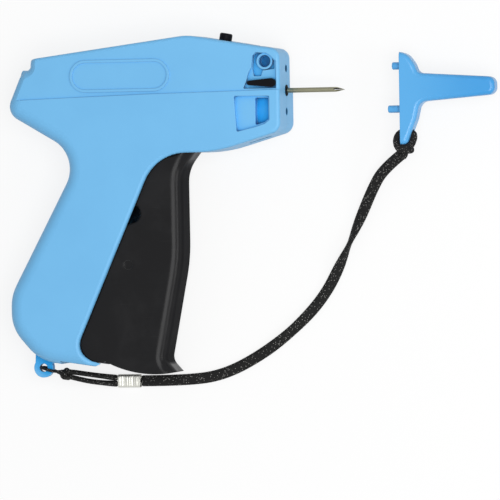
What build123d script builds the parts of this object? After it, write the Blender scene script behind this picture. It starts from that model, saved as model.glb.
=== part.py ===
from build123d import *
from math import sin, cos, tan, radians, degrees, atan2, hypot, pi
import os

# A hand-held garment tag attacher, lying on its left side on a table.
# X runs forward along the needle, Y up the tool, Z from the left side to the right side.
# Millimetres. The origin is the point of the left side that the tool rests on.
# Every shape below is drawn about the muzzle: the point where the needle axis
# leaves the front face, on the middle plane between the two shell halves.

os.makedirs("parts", exist_ok=True)

# ---- driving dimensions ----
MUZZLE_X = 30.0        # muzzle ahead of the resting point
MUZZLE_Y = 10.0        # needle axis above the resting point
HALF = 13.0            # half thickness of the body, at the grip and below the side ledge
LEDGE = 0.7            # the sides step in by this above the ledge line
WALL = 2.4             # shell wall
INNER_ROUND = 3.0      # the same edges inside the walls
REAR_ROUND = 6.2       # rounding of the spur, the back of the grip and its foot
EDGE_ROUND = 1.4       # rounding of the other edges of the sides
RUN = 0.08             # running fit, radial, of axles and the ejector rod
GAP = 0.35             # room between parts that move past each other
NEEDLE_BORE_R = 0.75   # bore of the needle and of the rod's guides
PLACE = 0.05           # placed fit of parts held in the shells

PIVOT_T = (-49.9, -20.7)   # trigger axle
PIVOT_L = (-75.0, -48.0)   # drive lever axle
SQUEEZE = 12.0             # trigger travel in degrees
STROKE = 39.0              # ejector travel
CARRIER_X = -94.5          # cross pin of the carrier at rest
TRIGGER_HALF = 9.6         # half width of the trigger
TRIGGER_WALL = 2.0
TRIGGER_ROUND = 5.0        # rounding of the finger pad
AXLE_R = 1.5
AXLE_HALF = 9.4            # axles end blind inside the bosses
TRIGGER_HUB_HALF = 7.6
LEVER_HALF = 3.0
EAR_IN = 3.4               # ears of the trigger either side of the drive lever
EAR_OUT = 5.6
SWING = 2 * degrees(atan2(STROKE / 2, PIVOT_L[1] * -1))  # drive lever travel in degrees
CHEEK_OUT = 6.0            # half width of the ejector carrier
ROD_R = NEEDLE_BORE_R - RUN
ROD_END = -17.4            # front end of the ejector rod at rest
HUB_R = 4.6
BOSS_R = 3.1

NEEDLE_R = 1.05
NEEDLE_TIP = 26.4
BEVEL = 5.8
BEVEL_TURN = 35.0          # the point lies this far round from the slot, in degrees
NECK_R = 2.4               # round neck of the needle base
BASE_HALF = 3.2            # half height and half width of the needle base
BASE_LENGTH = 6.4

CHANNEL_X0 = -17.0         # fastener channel behind the needle base
CHANNEL_X1 = -7.0
CHANNEL_HALF = 1.3
FILAMENT = 1.3             # height of the slot the filaments leave by
PEG_HOLE_R = 1.7
PEG_R = 1.6
PEG_END = 0.5              # rounding of the pegs' ends
PEG_ROOT = 4.4             # the pegs run on this far inside the cap
PEGS = ((9.5, 3.8), (-9.0, 5.8))   # height and length of the two pegs of the needle cap

WHEEL_R = 4.6
WHEEL_Y = -6.0
WHEEL_Z = 5.6
WHEEL_X0 = -16.8
WHEEL_X1 = -13.2
WHEEL_TEETH = 10
DETENT_Y = WHEEL_Y + WHEEL_R + 0.65

LOCK = (-3.7, 3.3)         # lock lever axle
LOCK_R = 1.8
LOCK_LENGTH = 10.6
LOCK_THICK = 1.75          # plate of the lever, flush with the right side
SHELF = 2.0                # depth of the lever's shelf below the right side
FLOOR = 3.4                # depth of the recess floor beyond it
ACCESS = (-6.8, 12.6)      # round access hole in the recess
ACCESS_R = 2.65
ACCESS_DEPTH = 6.4
ACCESS_RING = 0.9          # wall of the ring about it
WINDOW_STEP = 1.8          # depth of the side window, and of its deeper front part
WINDOW_DEPTH = 5.2

BUTTON_X = -26.85          # release button on the top edge
BUTTON_Y = 22.1
BUTTON_TILT = 10.0
BUTTON_R = 2.75
BUTTON_UP = 3.2

RING = (-111.2, -119.1)    # lanyard ring under the grip
RING_R = 4.3
RING_HOLE = 1.8
RING_HALF = 1.5

CAP_X = 50.8               # flange of the needle cap, laid ahead of the tool
CAP_HALF = 4.4             # half thickness of the cap
CAP_WALL = 1.6
CAP_ROUND = 1.8            # rounding of its side edges
CAP_LENGTH = 41.4
CAP_TOP = 15.4
TAB_END = -24.2            # lower end of the tab the cord is tied to
TAB_HOLE = (-19.4, 1.7)    # height and radius of the cord's hole

CORD_D = 5.0               # flat cord, by its width
STRAND_D = 2.2
LOOP_D = 1.4

mid = Plane(origin=(MUZZLE_X, MUZZLE_Y, HALF))


def across(x):
    """Plane square to the needle at x: its own x runs up the tool, its own y to the right side."""
    return Plane(origin=(MUZZLE_X + x, MUZZLE_Y, HALF), x_dir=(0, 1, 0), z_dir=(1, 0, 0))


def up_from(x, y, z, tilt=0.0):
    """Plane at a point, facing up the tool and tilted forward by tilt degrees."""
    t = radians(tilt)
    return Plane(
        origin=(MUZZLE_X + x, MUZZLE_Y + y, HALF + z),
        x_dir=(0, 0, 1),
        z_dir=(sin(t), cos(t), 0),
    )


def turned(point, centre, angle):
    """A point turned about a centre by an angle in degrees."""
    a = radians(angle)
    x, y = point[0] - centre[0], point[1] - centre[1]
    return (centre[0] + x * cos(a) - y * sin(a), centre[1] + x * sin(a) + y * cos(a))


def body_outline():
    """Side outline: front chain from the grip's lip to the rear top corner, then the spur and grip."""
    with BuildLine() as line:
        FilletPolyline(
            (-81.2, -116.6), (-94.7, -114.0), (-55.9, -26.1), (-29.2, -26.1),
            (0.0, -17.5), (0.0, 17.55), (-41.2, 24.58), (-112.6, 15.6),
            radius=[7.0, 20.0, 60.0, 5.0, 4.4, 24.0],
        )
        FilletPolyline((-112.6, 15.6), (-113.0, 10.9), (-116.5, 10.9), radius=1.8)
        FilletPolyline(
            (-116.5, 10.9), (-124.3, -7.4), (-91.1, -26.9), (-123.4, -87.1),
            (-123.4, -101.5), (-111.0, -115.8), (-87.0, -119.3),
            radius=[6.4, 14.0, 20.0, 18.0, 20.0],
        )
        Line((-87.0, -119.3), (-81.2, -116.6))
    return make_face(line.line)


def blank(inset, rounding):
    """The body as one solid block, its outline and sides moved in by inset, the rear edges rounded."""
    face = body_outline()
    if inset:
        face = offset(face, -inset, kind=Kind.INTERSECTION)
    depth = HALF - inset
    solid = extrude(mid.offset(-depth).location * face, 2 * depth)
    rear = []
    for e in solid.edges():
        p = mid.to_local_coords(e.center())
        back = p.X < (-92.0 if p.Y > -60.0 else -96.0)
        if abs(abs(p.Z) - depth) < 0.01 and back and (p.X < -110.0 or p.Y < -9.0):
            rear.append(e)
    solid = fillet(rear, rounding)
    return solid if inset else soften_front(solid, depth)


def soften_front(solid, depth):
    """Round the side edges from the grip's lip, round the muzzle, to the rear top corner."""
    front = []
    for e in solid.edges():
        p = mid.to_local_coords(e.center())
        grip = p.X > -92.0 and p.Y < -17.0
        if abs(abs(p.Z) - depth) < 0.01 and (grip or p.X > -6.0 or p.Y > 14.0):
            front.append(e)
    return fillet(front, EDGE_ROUND)


LEDGE_AREA = [(-130.0, -2.5), (-97.6, -1.6), (-60.0, -0.6), (5.0, 0.35), (5.0, 40.0), (-130.0, 40.0)]


def stepped(solid):
    """The block with its sides stepped in above the ledge, and their edges rounded again there."""
    depth = HALF - LEDGE
    upper = soften_front(extrude(mid.offset(-depth).location * body_outline(), 2 * depth), depth)
    beside = extrude(mid.offset(-2 * HALF).location * make_face(Polyline(*LEDGE_AREA, close=True)), 4 * HALF)
    return solid - (beside - upper)


body = stepped(blank(0, REAR_ROUND))
hollow = blank(WALL, INNER_ROUND)
nose = extrude(mid.offset(-20).location * Pos(4, 0) * Rectangle(50, 60), 40)
hollow_with_nose = hollow - nose

# Shapes that both halves of the housing share.
TRIGGER_OPENING = [
    (-37.6, -20.5), (-37.6, -126.0), (-101.0, -126.0), (-101.0, -112.5),
    (-94.5, -104.0), (-66.0, -39.5), (-57.0, -27.0), (-56.0, -20.5),
]
RAIL_Y = 5.2
RAILS = [(-106.0, -42.0, 1), (-106.0, -42.0, -1)]
SCREWS = [(-104.0, 10.6), (-36.0, 12.8), (-34.0, -16.0), (-111.5, -105.5)]
SCREW_BORE = {1: 9.0, -1: HALF}   # blind in the right half, through the left half
SCREW_HEAD_R = 3.1
SCREW_SEAT = 2.2           # depth of the screw seats below the left side


def shell(side):
    """One half of the housing: walls, ledge, bosses, rails, posts and mouths."""
    z_in = HALF - WALL
    with BuildPart() as half:
        add(body)
        # the half on its own side of the middle plane
        with BuildSketch(mid):
            with Locations((-60, -45)):
                Rectangle(200, 200)
        extrude(amount=-side * 40, mode=Mode.SUBTRACT)
        add(hollow_with_nose, mode=Mode.SUBTRACT)
        # front of the grip, open for the trigger
        with BuildSketch(mid):
            Polygon(*TRIGGER_OPENING, align=None)
        extrude(amount=side * z_in, mode=Mode.SUBTRACT)
        # bosses of the two axles, blind behind the side wall
        for (x, y), z0 in ((PIVOT_T, TRIGGER_HUB_HALF + GAP), (PIVOT_L, LEVER_HALF + GAP)):
            with BuildSketch(mid.offset(side * z0)):
                with Locations((x, y)):
                    Circle(BOSS_R)
            extrude(amount=side * (z_in + 0.4 - z0))
            with BuildSketch(mid.offset(side * z0)):
                with Locations((x, y)):
                    Circle(AXLE_R + PLACE)
            extrude(amount=side * (AXLE_HALF - z0), mode=Mode.SUBTRACT)
        # rails the carrier runs between
        for x0, x1, way in RAILS:
            with BuildSketch(mid.offset(side * 3.6)):
                with Locations(((x0 + x1) / 2, way * (RAIL_Y + 0.7))):
                    Rectangle(x1 - x0, 1.4)
            extrude(amount=side * (z_in + 0.4 - 3.6))
        # screw posts, and the wall that guides the ejector rod
        for x, y in SCREWS:
            with BuildSketch(mid):
                with Locations((x, y)):
                    Circle(2.9)
            extrude(amount=side * (z_in + 0.4))
            with BuildSketch(mid):
                with Locations((x, y)):
                    Circle(1.1)
            extrude(amount=side * SCREW_BORE[side], mode=Mode.SUBTRACT)
        with BuildSketch(mid):
            with Locations((-33.0, 0)):
                Rectangle(2.4, 12)
        extrude(amount=side * (z_in + 0.4))
        with BuildSketch(across(-36)):
            Circle(NEEDLE_BORE_R)
        extrude(amount=5, mode=Mode.SUBTRACT)
        # seat of the return spring on the back of the grip
        with BuildSketch(mid):
            Polygon((-121.4, -101), (-118.2, -101), (-118.2, -88), (-121.4, -88), align=None)
        extrude(amount=side * 6)
        # lanyard ring under the foot of the grip
        with BuildSketch(mid):
            with Locations(RING):
                Circle(RING_R)
            Polygon((-114.9, -117.2), (-114.6, -111.5), (-103.4, -114.0), (-107.4, -117.6), align=None)
        extrude(amount=side * RING_HALF)
        with BuildSketch(mid):
            with Locations(RING):
                Circle(RING_HOLE)
        extrude(amount=side * 5, mode=Mode.SUBTRACT)
        # needle base pocket, neck and the two peg holes in the front face
        with BuildSketch(across(-BASE_LENGTH - PLACE)):
            Rectangle(2 * (BASE_HALF + PLACE), 2 * (BASE_HALF + PLACE))
        extrude(amount=BASE_LENGTH - 1.4 + PLACE, mode=Mode.SUBTRACT)
        with BuildSketch(across(-5)):
            Circle(NECK_R + PLACE)
        extrude(amount=10, mode=Mode.SUBTRACT)
        for y, length in PEGS:
            with BuildSketch(across(-length - 0.5)):
                with Locations((y, 0)):
                    Circle(PEG_HOLE_R)
            extrude(amount=20, mode=Mode.SUBTRACT)
        # fastener channel, straight through the head from top to bottom
        with BuildSketch(mid):
            with Locations(((CHANNEL_X0 + CHANNEL_X1) / 2, 0)):
                Rectangle(CHANNEL_X1 - CHANNEL_X0, 80)
        extrude(amount=side * CHANNEL_HALF, mode=Mode.SUBTRACT)
        # bore that takes the ejector rod across the channel to the needle base
        with BuildSketch(across(-22)):
            Circle(NEEDLE_BORE_R)
        extrude(amount=22 - BASE_LENGTH, mode=Mode.SUBTRACT)
        # bore of the lock lever's shaft
        with BuildSketch(mid.offset(-3.1)):
            with Locations(LOCK):
                Circle(LOCK_R + RUN)
        extrude(amount=20, mode=Mode.SUBTRACT)
        # release button well in the top edge
        with BuildSketch(up_from(BUTTON_X, BUTTON_Y, 0, BUTTON_TILT).offset(-6.0)):
            Circle(BUTTON_R + 0.15)
        extrude(amount=12, mode=Mode.SUBTRACT)
    return half.part


RECESS = [
    (-16.2, 0.9), (-14.6, 4.3), (-13.5, 7.8), (-12.4, 10.0), (-11.9, 15.0), (-10.4, 16.5),
    (-6.0, 16.2), (-4.2, 15.2), (-1.5, 12.6), (-1.5, 0.9),
]
RECESS_DEEP = [
    (-12.2, 9.6), (-11.8, 14.9), (-10.3, 16.3), (-6.1, 16.0), (-4.4, 15.0), (-2.4, 12.6),
    (-2.4, 9.2), (-7.6, 8.6), (-8.4, 6.2), (-11.6, 6.2),
]
WINDOW = [(-20.2, -2.1), (-4.5, -2.3), (-4.5, -12.6), (-6.6, -14.3), (-10.6, -15.6), (-19.2, -17.6)]
WINDOW_DEEP = [(-11.2, -3.0), (-5.3, -3.1), (-5.3, -12.2), (-7.0, -13.6), (-11.2, -14.9)]

right_half = shell(1)
with BuildPart() as right_shell:
    add(right_half)
    # raised rim of the plaque
    with BuildSketch(mid.offset(HALF - LEDGE - 0.2)):
        with Locations((-71.4, 7.7)):
            SlotOverall(44.8, 13.9)
            SlotOverall(42.6, 11.7, mode=Mode.SUBTRACT)
    extrude(amount=0.7)
    # recess of the lock lever: a shallow shelf, a deeper floor and a round access hole
    for points, depth in ((RECESS, SHELF), (RECESS_DEEP, FLOOR)):
        with BuildSketch(mid.offset(HALF - depth)):
            Polygon(*points, align=None)
            fillet(vertices(), 0.4)
        extrude(amount=5, mode=Mode.SUBTRACT)
    # room for the lever's tip as it swings up
    with BuildSketch(mid.offset(HALF - SHELF)):
        with BuildLine():
            CenterArc(LOCK, LOCK_LENGTH + GAP, 100, 80)
            Line((LOCK[0] - LOCK_LENGTH - GAP, LOCK[1]), LOCK)
            Line(LOCK, turned((LOCK[0] + LOCK_LENGTH + GAP, LOCK[1]), LOCK, 100))
        make_face()
    extrude(amount=5, mode=Mode.SUBTRACT)
    with BuildSketch(mid.offset(HALF - FLOOR)):
        with Locations(ACCESS):
            Circle(ACCESS_R + ACCESS_RING)
    extrude(amount=FLOOR - SHELF)
    with BuildSketch(mid.offset(HALF - ACCESS_DEPTH)):
        with Locations(ACCESS):
            Circle(ACCESS_R)
    extrude(amount=10, mode=Mode.SUBTRACT)
    # side window: a shallow pocket and a deeper one in front
    for points, depth in ((WINDOW, WINDOW_STEP), (WINDOW_DEEP, WINDOW_DEPTH)):
        with BuildSketch(mid.offset(HALF - depth)):
            Polygon(*points, align=None)
            fillet(vertices(), 0.6)
        extrude(amount=5, mode=Mode.SUBTRACT)
    # feed wheel pocket and axle slot, open to the middle plane
    with BuildSketch(across(WHEEL_X0 - GAP)):
        with Locations((WHEEL_Y, WHEEL_Z)):
            Circle(WHEEL_R + 0.3)
        with Locations((WHEEL_Y, WHEEL_Z / 2)):
            Rectangle(2 * WHEEL_R + 0.6, WHEEL_Z)
    extrude(amount=WHEEL_X1 - WHEEL_X0 + 2 * GAP, mode=Mode.SUBTRACT)
    with BuildSketch(across(-19.5)):
        with Locations((WHEEL_Y, WHEEL_Z)):
            Circle(1.0 + PLACE)
        with Locations((WHEEL_Y, WHEEL_Z / 2)):
            Rectangle(2 * (1.0 + PLACE), WHEEL_Z)
    extrude(amount=9.0, mode=Mode.SUBTRACT)
    # seat of the detent spring above the wheel
    with BuildSketch(mid.offset(2.0)):
        with Locations(((WHEEL_X0 + WHEEL_X1) / 2, DETENT_Y)):
            Rectangle(2.1, 0.5)
    extrude(amount=7.55, mode=Mode.SUBTRACT)
    # slot and rear rib that guide the feed pawl
    with BuildSketch(across(-22)):
        with Locations((-7.0, HALF - 3.8)):
            Rectangle(9.0, 1.8)
    extrude(amount=22 + WHEEL_X0, mode=Mode.SUBTRACT)
    with BuildSketch(mid.offset(5.0)):
        with Locations((-25.3, -4.0)):
            Rectangle(1.4, 20)
    extrude(amount=HALF - WALL + 0.4 - 5.0)
    # cutter seat
    with BuildSketch(across(-7.0 - 0.02)):
        with Locations((3.3, 1.5)):
            Rectangle(4.7, 3.2)
    extrude(amount=0.6, mode=Mode.SUBTRACT)
right_shell.part.label = "right_shell"
export_step(right_shell.part, "parts/right_shell.step")

left_half = shell(-1)
with BuildPart() as left_blank:
    add(left_half)
    with BuildSketch(mid.offset(-(HALF - LEDGE - 0.2))):
        with Locations((-71.4, 7.7)):
            SlotOverall(44.8, 13.9)
            SlotOverall(42.6, 11.7, mode=Mode.SUBTRACT)
    extrude(amount=-0.7)
    # seats of the four screw heads
    with BuildSketch(mid.offset(SCREW_SEAT - HALF)):
        with Locations(*SCREWS):
            Circle(SCREW_HEAD_R)
    extrude(amount=-5, mode=Mode.SUBTRACT)
    # the side is cut away beside the fastener channel, above the needle
    with BuildSketch(mid.offset(-6.4)):
        Polygon((-19.0, 0.65), (5.0, 0.65), (5.0, 30.0), (-19.0, 30.0), align=None)
    extrude(amount=-20, mode=Mode.SUBTRACT)
    # slots the filaments travel along: down beside the channel, then forward beside the needle
    with BuildSketch(mid):
        with Locations((-12.0, 15.0)):
            Rectangle(2.0, 30.0)
        with Locations((-4.0, 0)):
            Rectangle(18.0, FILAMENT)
    extrude(amount=-20, mode=Mode.SUBTRACT)
    with BuildSketch(across(-7.0 - 0.02)):
        with Locations((3.3, -1.5)):
            Rectangle(4.7, 3.2)
    extrude(amount=0.6, mode=Mode.SUBTRACT)

left_pieces = sorted(left_blank.part.solids(), key=lambda piece: -piece.volume)
print("left pieces", [round(piece.volume) for piece in left_pieces])
with BuildPart() as left_shell:
    add(left_pieces[0])
left_shell.part.label = "left_shell"
export_step(left_shell.part, "parts/left_shell.step")

with BuildPart() as fastener_guide:
    add(left_pieces[1])
fastener_guide.part.label = "fastener_guide"
export_step(fastener_guide.part, "parts/fastener_guide.step")
print("right pieces", [round(piece.volume) for piece in right_shell.part.solids()])

# ---- trigger and its axles ----
PITCH = hypot(PIVOT_L[0] - PIVOT_T[0], PIVOT_L[1] - PIVOT_T[1])
DRIVE_ARM = PITCH / (SWING / SQUEEZE - 1)      # drive pin to the lever axle at mid travel
DRIVE_MID = (
    PIVOT_L[0] + (PIVOT_L[0] - PIVOT_T[0]) * DRIVE_ARM / PITCH,
    PIVOT_L[1] + (PIVOT_L[1] - PIVOT_T[1]) * DRIVE_ARM / PITCH,
)
DRIVE_PIN = turned(DRIVE_MID, PIVOT_T, SQUEEZE / 2)
print("swing", round(SWING, 3), "drive pin", DRIVE_PIN, "arm", round(DRIVE_ARM, 3))

with BuildPart() as trigger:
    with BuildSketch(mid.offset(-TRIGGER_HALF)):
        with BuildLine():
            FilletPolyline(
                (-39.3, -25.4), (-45.6, -33.6), (-45.5, -72.0), (-54.0, -116.0), (-49.4, -121.1),
                radius=[16.0, 80.0, 5.0],
            )
            ThreePointArc((-49.4, -121.1), (-65.0, -121.4), (-80.6, -116.3))
            ThreePointArc((-80.6, -116.3), (-91.2, -113.2), (-93.2, -105.0))
            Line((-93.2, -105.0), (-64.6, -41.0))
            ThreePointArc((-64.6, -41.0), (-59.0, -31.5), (-54.6, -20.7))
            Line((-54.6, -20.7), (-46.0, -18.2))
            Line((-46.0, -18.2), (-39.3, -25.4))
        make_face()
    extrude(amount=2 * TRIGGER_HALF)
    pad = []
    for e in trigger.edges():
        q = mid.to_local_coords(e.center())
        if abs(abs(q.Z) - TRIGGER_HALF) < 0.01 and q.X > -53.2 and -118.0 < q.Y < -28.0:
            pad.append(e)
    fillet(pad, TRIGGER_ROUND)
    # hollow behind the finger pad
    with BuildSketch(mid.offset(-(TRIGGER_HALF - TRIGGER_WALL))):
        Polygon(
            (-50.0, -28.0), (-49.8, -64.0), (-51.4, -82.0), (-55.4, -101.0), (-57.6, -111.0),
            (-57.0, -118.4), (-66.0, -118.0), (-79.5, -113.6), (-90.0, -111.0), (-96.0, -108.0),
            (-96.0, -95.0), (-66.0, -30.0), align=None,
        )
    extrude(amount=2 * (TRIGGER_HALF - TRIGGER_WALL), mode=Mode.SUBTRACT)
    # room in the side walls for the bosses of both axles, and a small mould mark
    for side in (-1, 1):
        with BuildSketch(mid.offset(side * TRIGGER_HUB_HALF)):
            with Locations(PIVOT_T):
                Circle(BOSS_R + 3.6)
            with Locations((-67.8, -52.1)):
                Circle(4.2)
            Polygon((-67.8, -47.9), (-67.8, -56.3), (-80.0, -61.0), (-80.0, -52.0), align=None)
        extrude(amount=side * 5, mode=Mode.SUBTRACT)
        with BuildSketch(mid.offset(side * (TRIGGER_HALF - 0.3))):
            with Locations((-69.6, -74.3)):
                Circle(2.0)
        extrude(amount=side * 5, mode=Mode.SUBTRACT)
    # hub
    with BuildSketch(mid.offset(-TRIGGER_HUB_HALF)):
        with Locations(PIVOT_T):
            Circle(HUB_R)
    extrude(amount=2 * TRIGGER_HUB_HALF)
    # ears that carry the drive pin
    for side in (-1, 1):
        with BuildSketch(mid.offset(side * EAR_IN)):
            Polygon((-47.5, -67.0), (-73.0, -67.0), (-78.6, -57.9), (-83.4, -63.9),
                    (-79.0, -73.0), (-48.0, -81.0), align=None)
            with Locations(DRIVE_PIN):
                Circle(4.0)
        extrude(amount=side * (EAR_OUT - EAR_IN))
    # web that seats the return spring
    with BuildSketch(mid.offset(-TRIGGER_HALF + 1.0)):
        Polygon((-74.5, -100.5), (-72.0, -100.5), (-72.0, -89.5), (-74.5, -89.5), align=None)
    extrude(amount=2 * (TRIGGER_HALF - 1.0))
    with BuildSketch(mid.offset(-TRIGGER_HALF)):
        with Locations(PIVOT_T):
            Circle(AXLE_R + RUN)
        with Locations(DRIVE_PIN):
            Circle(AXLE_R)
    extrude(amount=2 * TRIGGER_HALF, mode=Mode.SUBTRACT)
trigger.part.label = "trigger"
export_step(trigger.part, "parts/trigger.step")
print("trigger pieces", [round(piece.volume) for piece in trigger.part.solids()])

with BuildPart() as trigger_axle:
    with BuildSketch(mid.offset(-AXLE_HALF)):
        with Locations(PIVOT_T):
            Circle(AXLE_R)
    extrude(amount=2 * AXLE_HALF)
trigger_axle.part.label = "trigger_axle"
export_step(trigger_axle.part, "parts/trigger_axle.step")

with BuildPart() as lever_axle:
    with BuildSketch(mid.offset(-AXLE_HALF)):
        with Locations(PIVOT_L):
            Circle(AXLE_R)
    extrude(amount=2 * AXLE_HALF)
lever_axle.part.label = "lever_axle"
export_step(lever_axle.part, "parts/lever_axle.step")

with BuildPart() as drive_pin:
    with BuildSketch(mid.offset(-EAR_OUT)):
        with Locations(DRIVE_PIN):
            Circle(AXLE_R)
    extrude(amount=2 * EAR_OUT)
drive_pin.part.label = "drive_pin"
export_step(drive_pin.part, "parts/drive_pin.step")

# ---- drive lever: a bell crank from the trigger to the ejector carrier ----
REACH = hypot(CARRIER_X - PIVOT_L[0], PIVOT_L[1])
UP_ANGLE = degrees(atan2(-PIVOT_L[1], CARRIER_X - PIVOT_L[0]))
DOWN_ANGLE = degrees(atan2(DRIVE_MID[1] - PIVOT_L[1], DRIVE_MID[0] - PIVOT_L[0])) + SWING / 2
with BuildPart() as drive_lever:
    with BuildSketch(mid.offset(-LEVER_HALF)):
        with Locations(PIVOT_L):
            Circle(5.2)
        with Locations(Location((PIVOT_L[0], PIVOT_L[1], 0), (0, 0, UP_ANGLE))):
            Polygon(
                (0, -4.6), (REACH - 6, -3.6), (REACH, -4.0), (REACH, 4.0), (REACH - 6, 3.6), (0, 4.6),
                align=None,
            )
            with Locations((REACH, 0)):
                Circle(4.0)
            with Locations(((-PIVOT_L[1] + REACH) / 2, 0)):
                SlotCenterToCenter(REACH + PIVOT_L[1] + 0.6, 2 * (AXLE_R + 0.5), mode=Mode.SUBTRACT)
        with Locations(Location((PIVOT_L[0], PIVOT_L[1], 0), (0, 0, DOWN_ANGLE))):
            Polygon((0, -4.6), (14.2, -3.9), (14.2, 3.9), (0, 4.6), align=None)
            with Locations((14.2, 0)):
                Circle(3.9)
            with Locations((14.2, 0)):
                SlotCenterToCenter(1.4, 2 * (AXLE_R + 0.4), mode=Mode.SUBTRACT)
        with Locations(PIVOT_L):
            Circle(AXLE_R + RUN, mode=Mode.SUBTRACT)
    extrude(amount=2 * LEVER_HALF)
    # lightening pocket in both faces of the long arm
    for side in (-1, 1):
        with BuildSketch(mid.offset(side * (LEVER_HALF - 1.0))):
            with Locations(Location((PIVOT_L[0], PIVOT_L[1], 0), (0, 0, UP_ANGLE))):
                Polygon((8, -2.4), (REACH - 9, -1.8), (REACH - 9, 1.8), (8, 2.4), align=None)
        extrude(amount=side * 5, mode=Mode.SUBTRACT)
drive_lever.part.label = "drive_lever"
export_step(drive_lever.part, "parts/drive_lever.step")

# ---- ejector carrier, its cross pin and the rod ----
with BuildPart() as carrier:
    with BuildSketch(mid.offset(-CHEEK_OUT)):
        Polygon(
            (CARRIER_X - 8.7, -4.9), (CARRIER_X + 10.5, -4.9), (CARRIER_X + 13.0, -2.4),
            (CARRIER_X + 13.0, 2.4), (CARRIER_X + 10.5, 4.9), (CARRIER_X - 8.7, 4.9), align=None,
        )
    extrude(amount=2 * CHEEK_OUT)
    with BuildSketch(mid.offset(-LEVER_HALF - GAP)):
        with Locations((CARRIER_X + 0.2, 0)):
            Rectangle(15.2, 12.0)
    extrude(amount=2 * (LEVER_HALF + GAP), mode=Mode.SUBTRACT)
    with BuildSketch(mid.offset(-CHEEK_OUT)):
        with Locations((CARRIER_X, 0)):
            Circle(AXLE_R)
    extrude(amount=2 * CHEEK_OUT, mode=Mode.SUBTRACT)
    with BuildSketch(across(CARRIER_X + 8.2)):
        Circle(ROD_R)
    extrude(amount=8, mode=Mode.SUBTRACT)
carrier.part.label = "ejector_carrier"
export_step(carrier.part, "parts/ejector_carrier.step")

with BuildPart() as carrier_pin:
    with BuildSketch(mid.offset(-CHEEK_OUT)):
        with Locations((CARRIER_X, 0)):
            Circle(AXLE_R)
    extrude(amount=2 * CHEEK_OUT)
carrier_pin.part.label = "carrier_pin"
export_step(carrier_pin.part, "parts/carrier_pin.step")

with BuildPart() as ejector_rod:
    with BuildSketch(across(CARRIER_X + 8.2)):
        Circle(ROD_R)
    extrude(amount=ROD_END - CARRIER_X - 8.2)
ejector_rod.part.label = "ejector_rod"
export_step(ejector_rod.part, "parts/ejector_rod.step")

# ---- needle, its base, the cutter and the lock lever ----
with BuildPart() as needle_base:
    with BuildSketch(across(-BASE_LENGTH)):
        Rectangle(2 * BASE_HALF, 2 * BASE_HALF)
    extrude(amount=BASE_LENGTH - 1.4)
    with BuildSketch(across(-1.4)):
        Circle(NECK_R)
    extrude(amount=1.7)
    with BuildSketch(across(-4.4)):
        Circle(NEEDLE_R)
    extrude(amount=6, mode=Mode.SUBTRACT)
    with BuildSketch(across(-7)):
        Circle(NEEDLE_BORE_R)
    extrude(amount=6, mode=Mode.SUBTRACT)
    with BuildSketch(mid):
        with Locations((-3, 0)):
            Rectangle(10, 0.9)
    extrude(amount=-10, mode=Mode.SUBTRACT)
    with BuildSketch(mid.offset(-5)):
        with Locations(LOCK):
            Circle(LOCK_R + 0.15)
    extrude(amount=10, mode=Mode.SUBTRACT)
needle_base.part.label = "needle_base"
export_step(needle_base.part, "parts/needle_base.step")

with BuildPart() as needle:
    with BuildSketch(across(-4.4)):
        Circle(NEEDLE_R)
        Circle(NEEDLE_BORE_R, mode=Mode.SUBTRACT)
    extrude(amount=NEEDLE_TIP + 4.4)
    # open slot along the left side, for the filament
    with BuildSketch(mid):
        with Locations((12, 0)):
            Rectangle(40, 0.8)
    extrude(amount=-5, mode=Mode.SUBTRACT)
    # bevelled point, beside the slot
    t = radians(BEVEL_TURN)
    with BuildSketch(Plane(origin=mid.origin, x_dir=(1, 0, 0), z_dir=(0, -cos(t), -sin(t))).offset(-5)):
        Polygon(
            (NEEDLE_TIP - BEVEL, NEEDLE_R), (NEEDLE_TIP + 1, NEEDLE_R),
            (NEEDLE_TIP + 1, -NEEDLE_R), (NEEDLE_TIP - 0.4, -NEEDLE_R), align=None,
        )
    extrude(amount=10, mode=Mode.SUBTRACT)
needle.part.label = "needle"
export_step(needle.part, "parts/needle.step")

with BuildPart() as cutter_blade:
    with BuildSketch(across(-7.0)):
        Polygon((1.0, -1.2), (1.4, 1.2), (5.5, 2.6), (5.5, -2.6), (1.4, -2.6), align=None)
    extrude(amount=0.5)
cutter_blade.part.label = "cutter_blade"
export_step(cutter_blade.part, "parts/cutter_blade.step")

with BuildPart() as lock_lever:
    with BuildSketch(mid.offset(HALF - LOCK_THICK)):
        with BuildLine():
            Line((LOCK[0], LOCK[1] + 1.9), (LOCK[0] - LOCK_LENGTH + 0.8, LOCK[1] + 1.0))
            ThreePointArc(
                (LOCK[0] - LOCK_LENGTH + 0.8, LOCK[1] + 1.0), (LOCK[0] - LOCK_LENGTH, LOCK[1]),
                (LOCK[0] - LOCK_LENGTH + 0.8, LOCK[1] - 0.9),
            )
            Line((LOCK[0] - LOCK_LENGTH + 0.8, LOCK[1] - 0.9), (LOCK[0], LOCK[1] - 1.9))
            ThreePointArc((LOCK[0], LOCK[1] - 1.9), (LOCK[0] + 1.9, LOCK[1]), (LOCK[0], LOCK[1] + 1.9))
        make_face()
    extrude(amount=LOCK_THICK)
    with BuildSketch(mid.offset(-2.9)):
        with Locations(LOCK):
            Circle(LOCK_R)
    extrude(amount=2.9 + HALF - LOCK_THICK + 0.2)
    # half-moon shaft: its flat lets the base go when the lever stands up
    with BuildSketch(mid.offset(-3.2)):
        with Locations((LOCK[0] + 2.2, LOCK[1])):
            Rectangle(4.0, 6.0)
    extrude(amount=6.6, mode=Mode.SUBTRACT)
lock_lever.part.label = "lock_lever"
export_step(lock_lever.part, "parts/lock_lever.step")

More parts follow.
